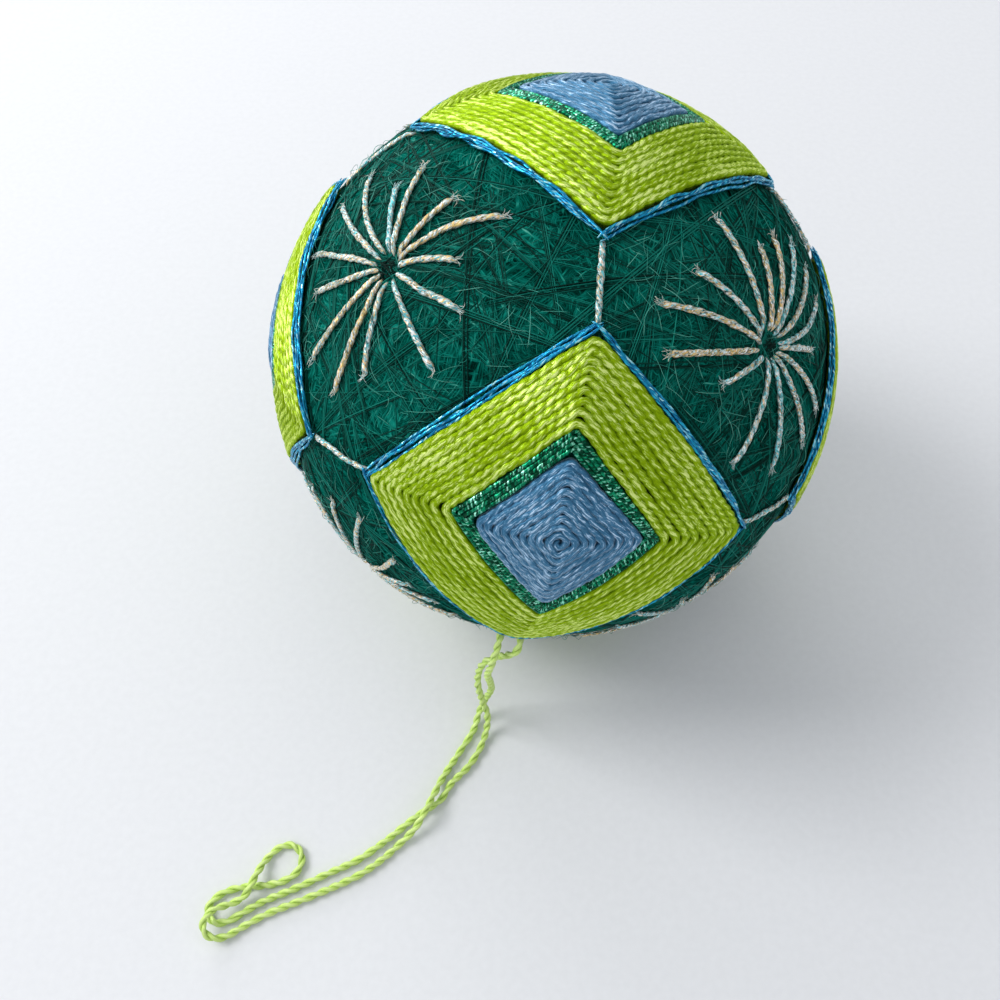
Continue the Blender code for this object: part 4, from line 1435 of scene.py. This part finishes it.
def fray_end(bundle, spot, way, tone, rng):
    """Fine filaments that fan out past the end of a stitch."""
    side = np.cross(spot, way)
    for _ in range(FRAY_HAIRS):
        turn = rng.normal(0, 0.5)
        bend = rng.normal(0, 0.25)
        start = spot + side * rng.normal(0, 0.22) * MM / BALL_RADIUS
        share = np.linspace(0, 1, 6)[:, None]
        length = FRAY_REACH * rng.uniform(0.4, 1.2) / BALL_RADIUS
        angles = turn * share + bend * share**2
        path = start + (way * np.cos(angles) + side * np.sin(angles)) * share * length
        rise = share[:, 0] * rng.uniform(-0.15, 0.35) * MM
        points = on_ball(path, BALL_RADIUS + FRAY_RISE + rise)
        add_hair(bundle, points, rng.uniform(0.03, 0.055) * MM, tone)


def lay_braid(bundle, path, run, total, look, tone, rng, root=0.62, tip=1.1):
    """One stitch of braid, pinched at its root and spread at its tip."""
    share = run / total
    width = look.width / 2 * np.interp(share, (0, 0.18, 0.85, 1), (root, 0.95, 1.0, tip))
    width = width * (1 + wander(rng, run, total, 0.1, 2 * MM))
    height = look.width * 0.36
    sink = np.interp(share, (0, 0.1, 0.93, 1), (0.45, 0.0, 0.0, 0.3)) * MM
    lie = BALL_RADIUS + BRAID_RISE - sink
    lay_strand(
        bundle, path, run, total, lie, width, height, rng,
        pitch=look.twist * rng.uniform(0.85, 1.2), depth=0.26, taper=0.5 * MM, tone=tone,
    )


class TEMARI_OT_guide_lines(bpy.types.Operator):
    """Lays the white braid between neighbouring squares' corners"""

    bl_idname = "temari.guide_lines"
    bl_label = "Guide lines"

    def execute(self, context):
        look = context.scene.temari.braid
        material = metallic_material("white_guide_braid", look)
        names = list(SQUARES)
        rng = np.random.default_rng(500)
        for i, first in enumerate(names):
            for second in names[i + 1 :]:
                if AXES[first].dot(AXES[second]) == 0:
                    self.add_line(SQUARES[first], SQUARES[second], material, look, rng)
        return {"FINISHED"}

    def add_line(self, first, second, material, look, rng):
        ends = []
        for square, other in ((first, second), (second, first)):
            k = next(k for k in range(4) if square.neighbour(k) == other.name)
            ends.append(unit(square.directions(square.outline[k : k + 1]))[0])
        path, run, total = evenly(np.array(ends), 0.2 * MM / BALL_RADIUS)
        run, total = run * BALL_RADIUS, total * BALL_RADIUS
        path = drift_aside(unit(path), run, total, False, 0.05 * MM, rng)
        bundle = Bundle()
        lay_braid(bundle, path, run, total, look, rng.uniform(0.3, 0.5), rng, 0.75, 0.75)
        name = f"{first.name}_{second.name}"
        line = join_bundle(f"guide_braid_{name}", bundle, material)
        dress(line, [f"guide_{name}"])


class TEMARI_OT_starbursts(bpy.types.Operator):
    """Stitches the eight starbursts of white metallic braid"""

    bl_idname = "temari.starbursts"
    bl_label = "Starbursts"

    def execute(self, context):
        look = context.scene.temari.braid
        material = metallic_material("white_star_braid", look)
        for seed, name in enumerate(STAR_MIDDLES):
            rng = np.random.default_rng(600 + seed)
            bundle = Bundle()
            self.stitch_star(bundle, name, look, rng)
            star = join_bundle(f"star_braid_{name}", bundle, material)
            dress(star, [f"starburst_{name}"])
        return {"FINISHED"}

    def stitch_star(self, bundle, name, look, rng):
        middle, along, across, eye = star_frame(name)
        rows = STAR_STITCHES.get(name) or self.hidden_rows()
        step = 360 / len(rows)
        first_root = sum(row[0] - i * step for i, row in enumerate(rows)) / len(rows)

        def spot(radius, turn_deg):
            turn = math.radians(turn_deg)
            angle = radius / BALL_RADIUS
            out = along * math.cos(turn) + across * math.sin(turn)
            return middle * math.cos(angle) + out * math.sin(angle)

        for i, (bearing, length_mm, bow_mm, tint) in enumerate(rows):
            root = unit(spot(rng.uniform(*EYE_RADII_MM) * MM, first_root + i * step) + eye)
            tip = spot(length_mm * MM, bearing)
            side = unit(np.cross(root, tip))
            bow = unit(root + tip) + side * (2 * bow_mm + rng.normal(0, 0.15)) * MM / BALL_RADIUS
            share = np.linspace(0, 1, 13)[:, None]
            flat = root * (1 - share) ** 2 + 2 * bow * share * (1 - share) + tip * share**2
            path, run, total = evenly(unit(flat), 0.27 * MM / BALL_RADIUS)
            run, total = run * BALL_RADIUS, total * BALL_RADIUS
            path = drift_aside(unit(path), run, total, False, 0.06 * MM, rng)
            lay_braid(bundle, path, run, total, look, tint + rng.uniform(-0.04, 0.04), rng)
            way = unit(path[-1] - path[-4])
            pale = 0.4 + (tint - 0.5) * 0.4
            fray_end(bundle, path[-2], way, pale, rng)

    def hidden_rows(self):
        step = 360 / HIDDEN_STAR_STITCHES
        lengths = HIDDEN_STAR_LENGTHS_MM
        bows = (0.4, -0.5, 0.1)
        tints = (0.5, 0.85, 0.3, 0.65)
        return [
            (i * step, lengths[i % 5], bows[i % 3], tints[i % 4])
            for i in range(HIDDEN_STAR_STITCHES)
        ]


OPERATORS = (
    TEMARI_OT_stage,
    TEMARI_OT_hanging_loop,
    TEMARI_OT_ground,
    TEMARI_OT_lime_bands,
    TEMARI_OT_blue_middles,
    TEMARI_OT_green_frames,
    TEMARI_OT_blue_outlines,
    TEMARI_OT_guide_lines,
    TEMARI_OT_starbursts,
)


class TEMARI_PT_threads(bpy.types.Panel):
    """Lists the temari's pieces"""

    bl_idname = "TEMARI_PT_threads"
    bl_label = "Temari ball"
    bl_space_type = "VIEW_3D"
    bl_region_type = "UI"
    bl_category = "Temari"

    def draw(self, context):
        for operator in OPERATORS:
            self.layout.operator(operator.bl_idname)
        for group in context.scene.temari.bl_rna.properties:
            if group.type == "POINTER" and group.identifier != "rna_type":
                self.draw_group(context.scene.temari, group.identifier)

    def draw_group(self, ball, name):
        box = self.layout.box()
        box.label(text=name.capitalize())
        group = getattr(ball, name)
        for prop in group.bl_rna.properties:
            if prop.identifier not in ("rna_type", "name"):
                box.prop(group, prop.identifier)


CLASSES = (
    TEMARI_PG_lime,
    TEMARI_PG_blue,
    TEMARI_PG_frame,
    TEMARI_PG_outline,
    TEMARI_PG_braid,
    TEMARI_PG_ground,
    TEMARI_PG_loop,
    TEMARI_PG_stage,
    TEMARI_PG_ball,
    *OPERATORS,
    TEMARI_PT_threads,
)


def register():
    for cls in CLASSES:
        bpy.utils.register_class(cls)
    bpy.types.Scene.temari = PointerProperty(type=TEMARI_PG_ball)


def unregister():
    del bpy.types.Scene.temari
    for cls in reversed(CLASSES):
        bpy.utils.unregister_class(cls)


def main():
    register()
    bpy.ops.temari.stage()
    bpy.ops.temari.hanging_loop()
    bpy.ops.temari.ground()
    bpy.ops.temari.lime_bands()
    bpy.ops.temari.blue_middles()
    bpy.ops.temari.green_frames()
    bpy.ops.temari.blue_outlines()
    bpy.ops.temari.guide_lines()
    bpy.ops.temari.starbursts()


if __name__ == "__main__":
    main()
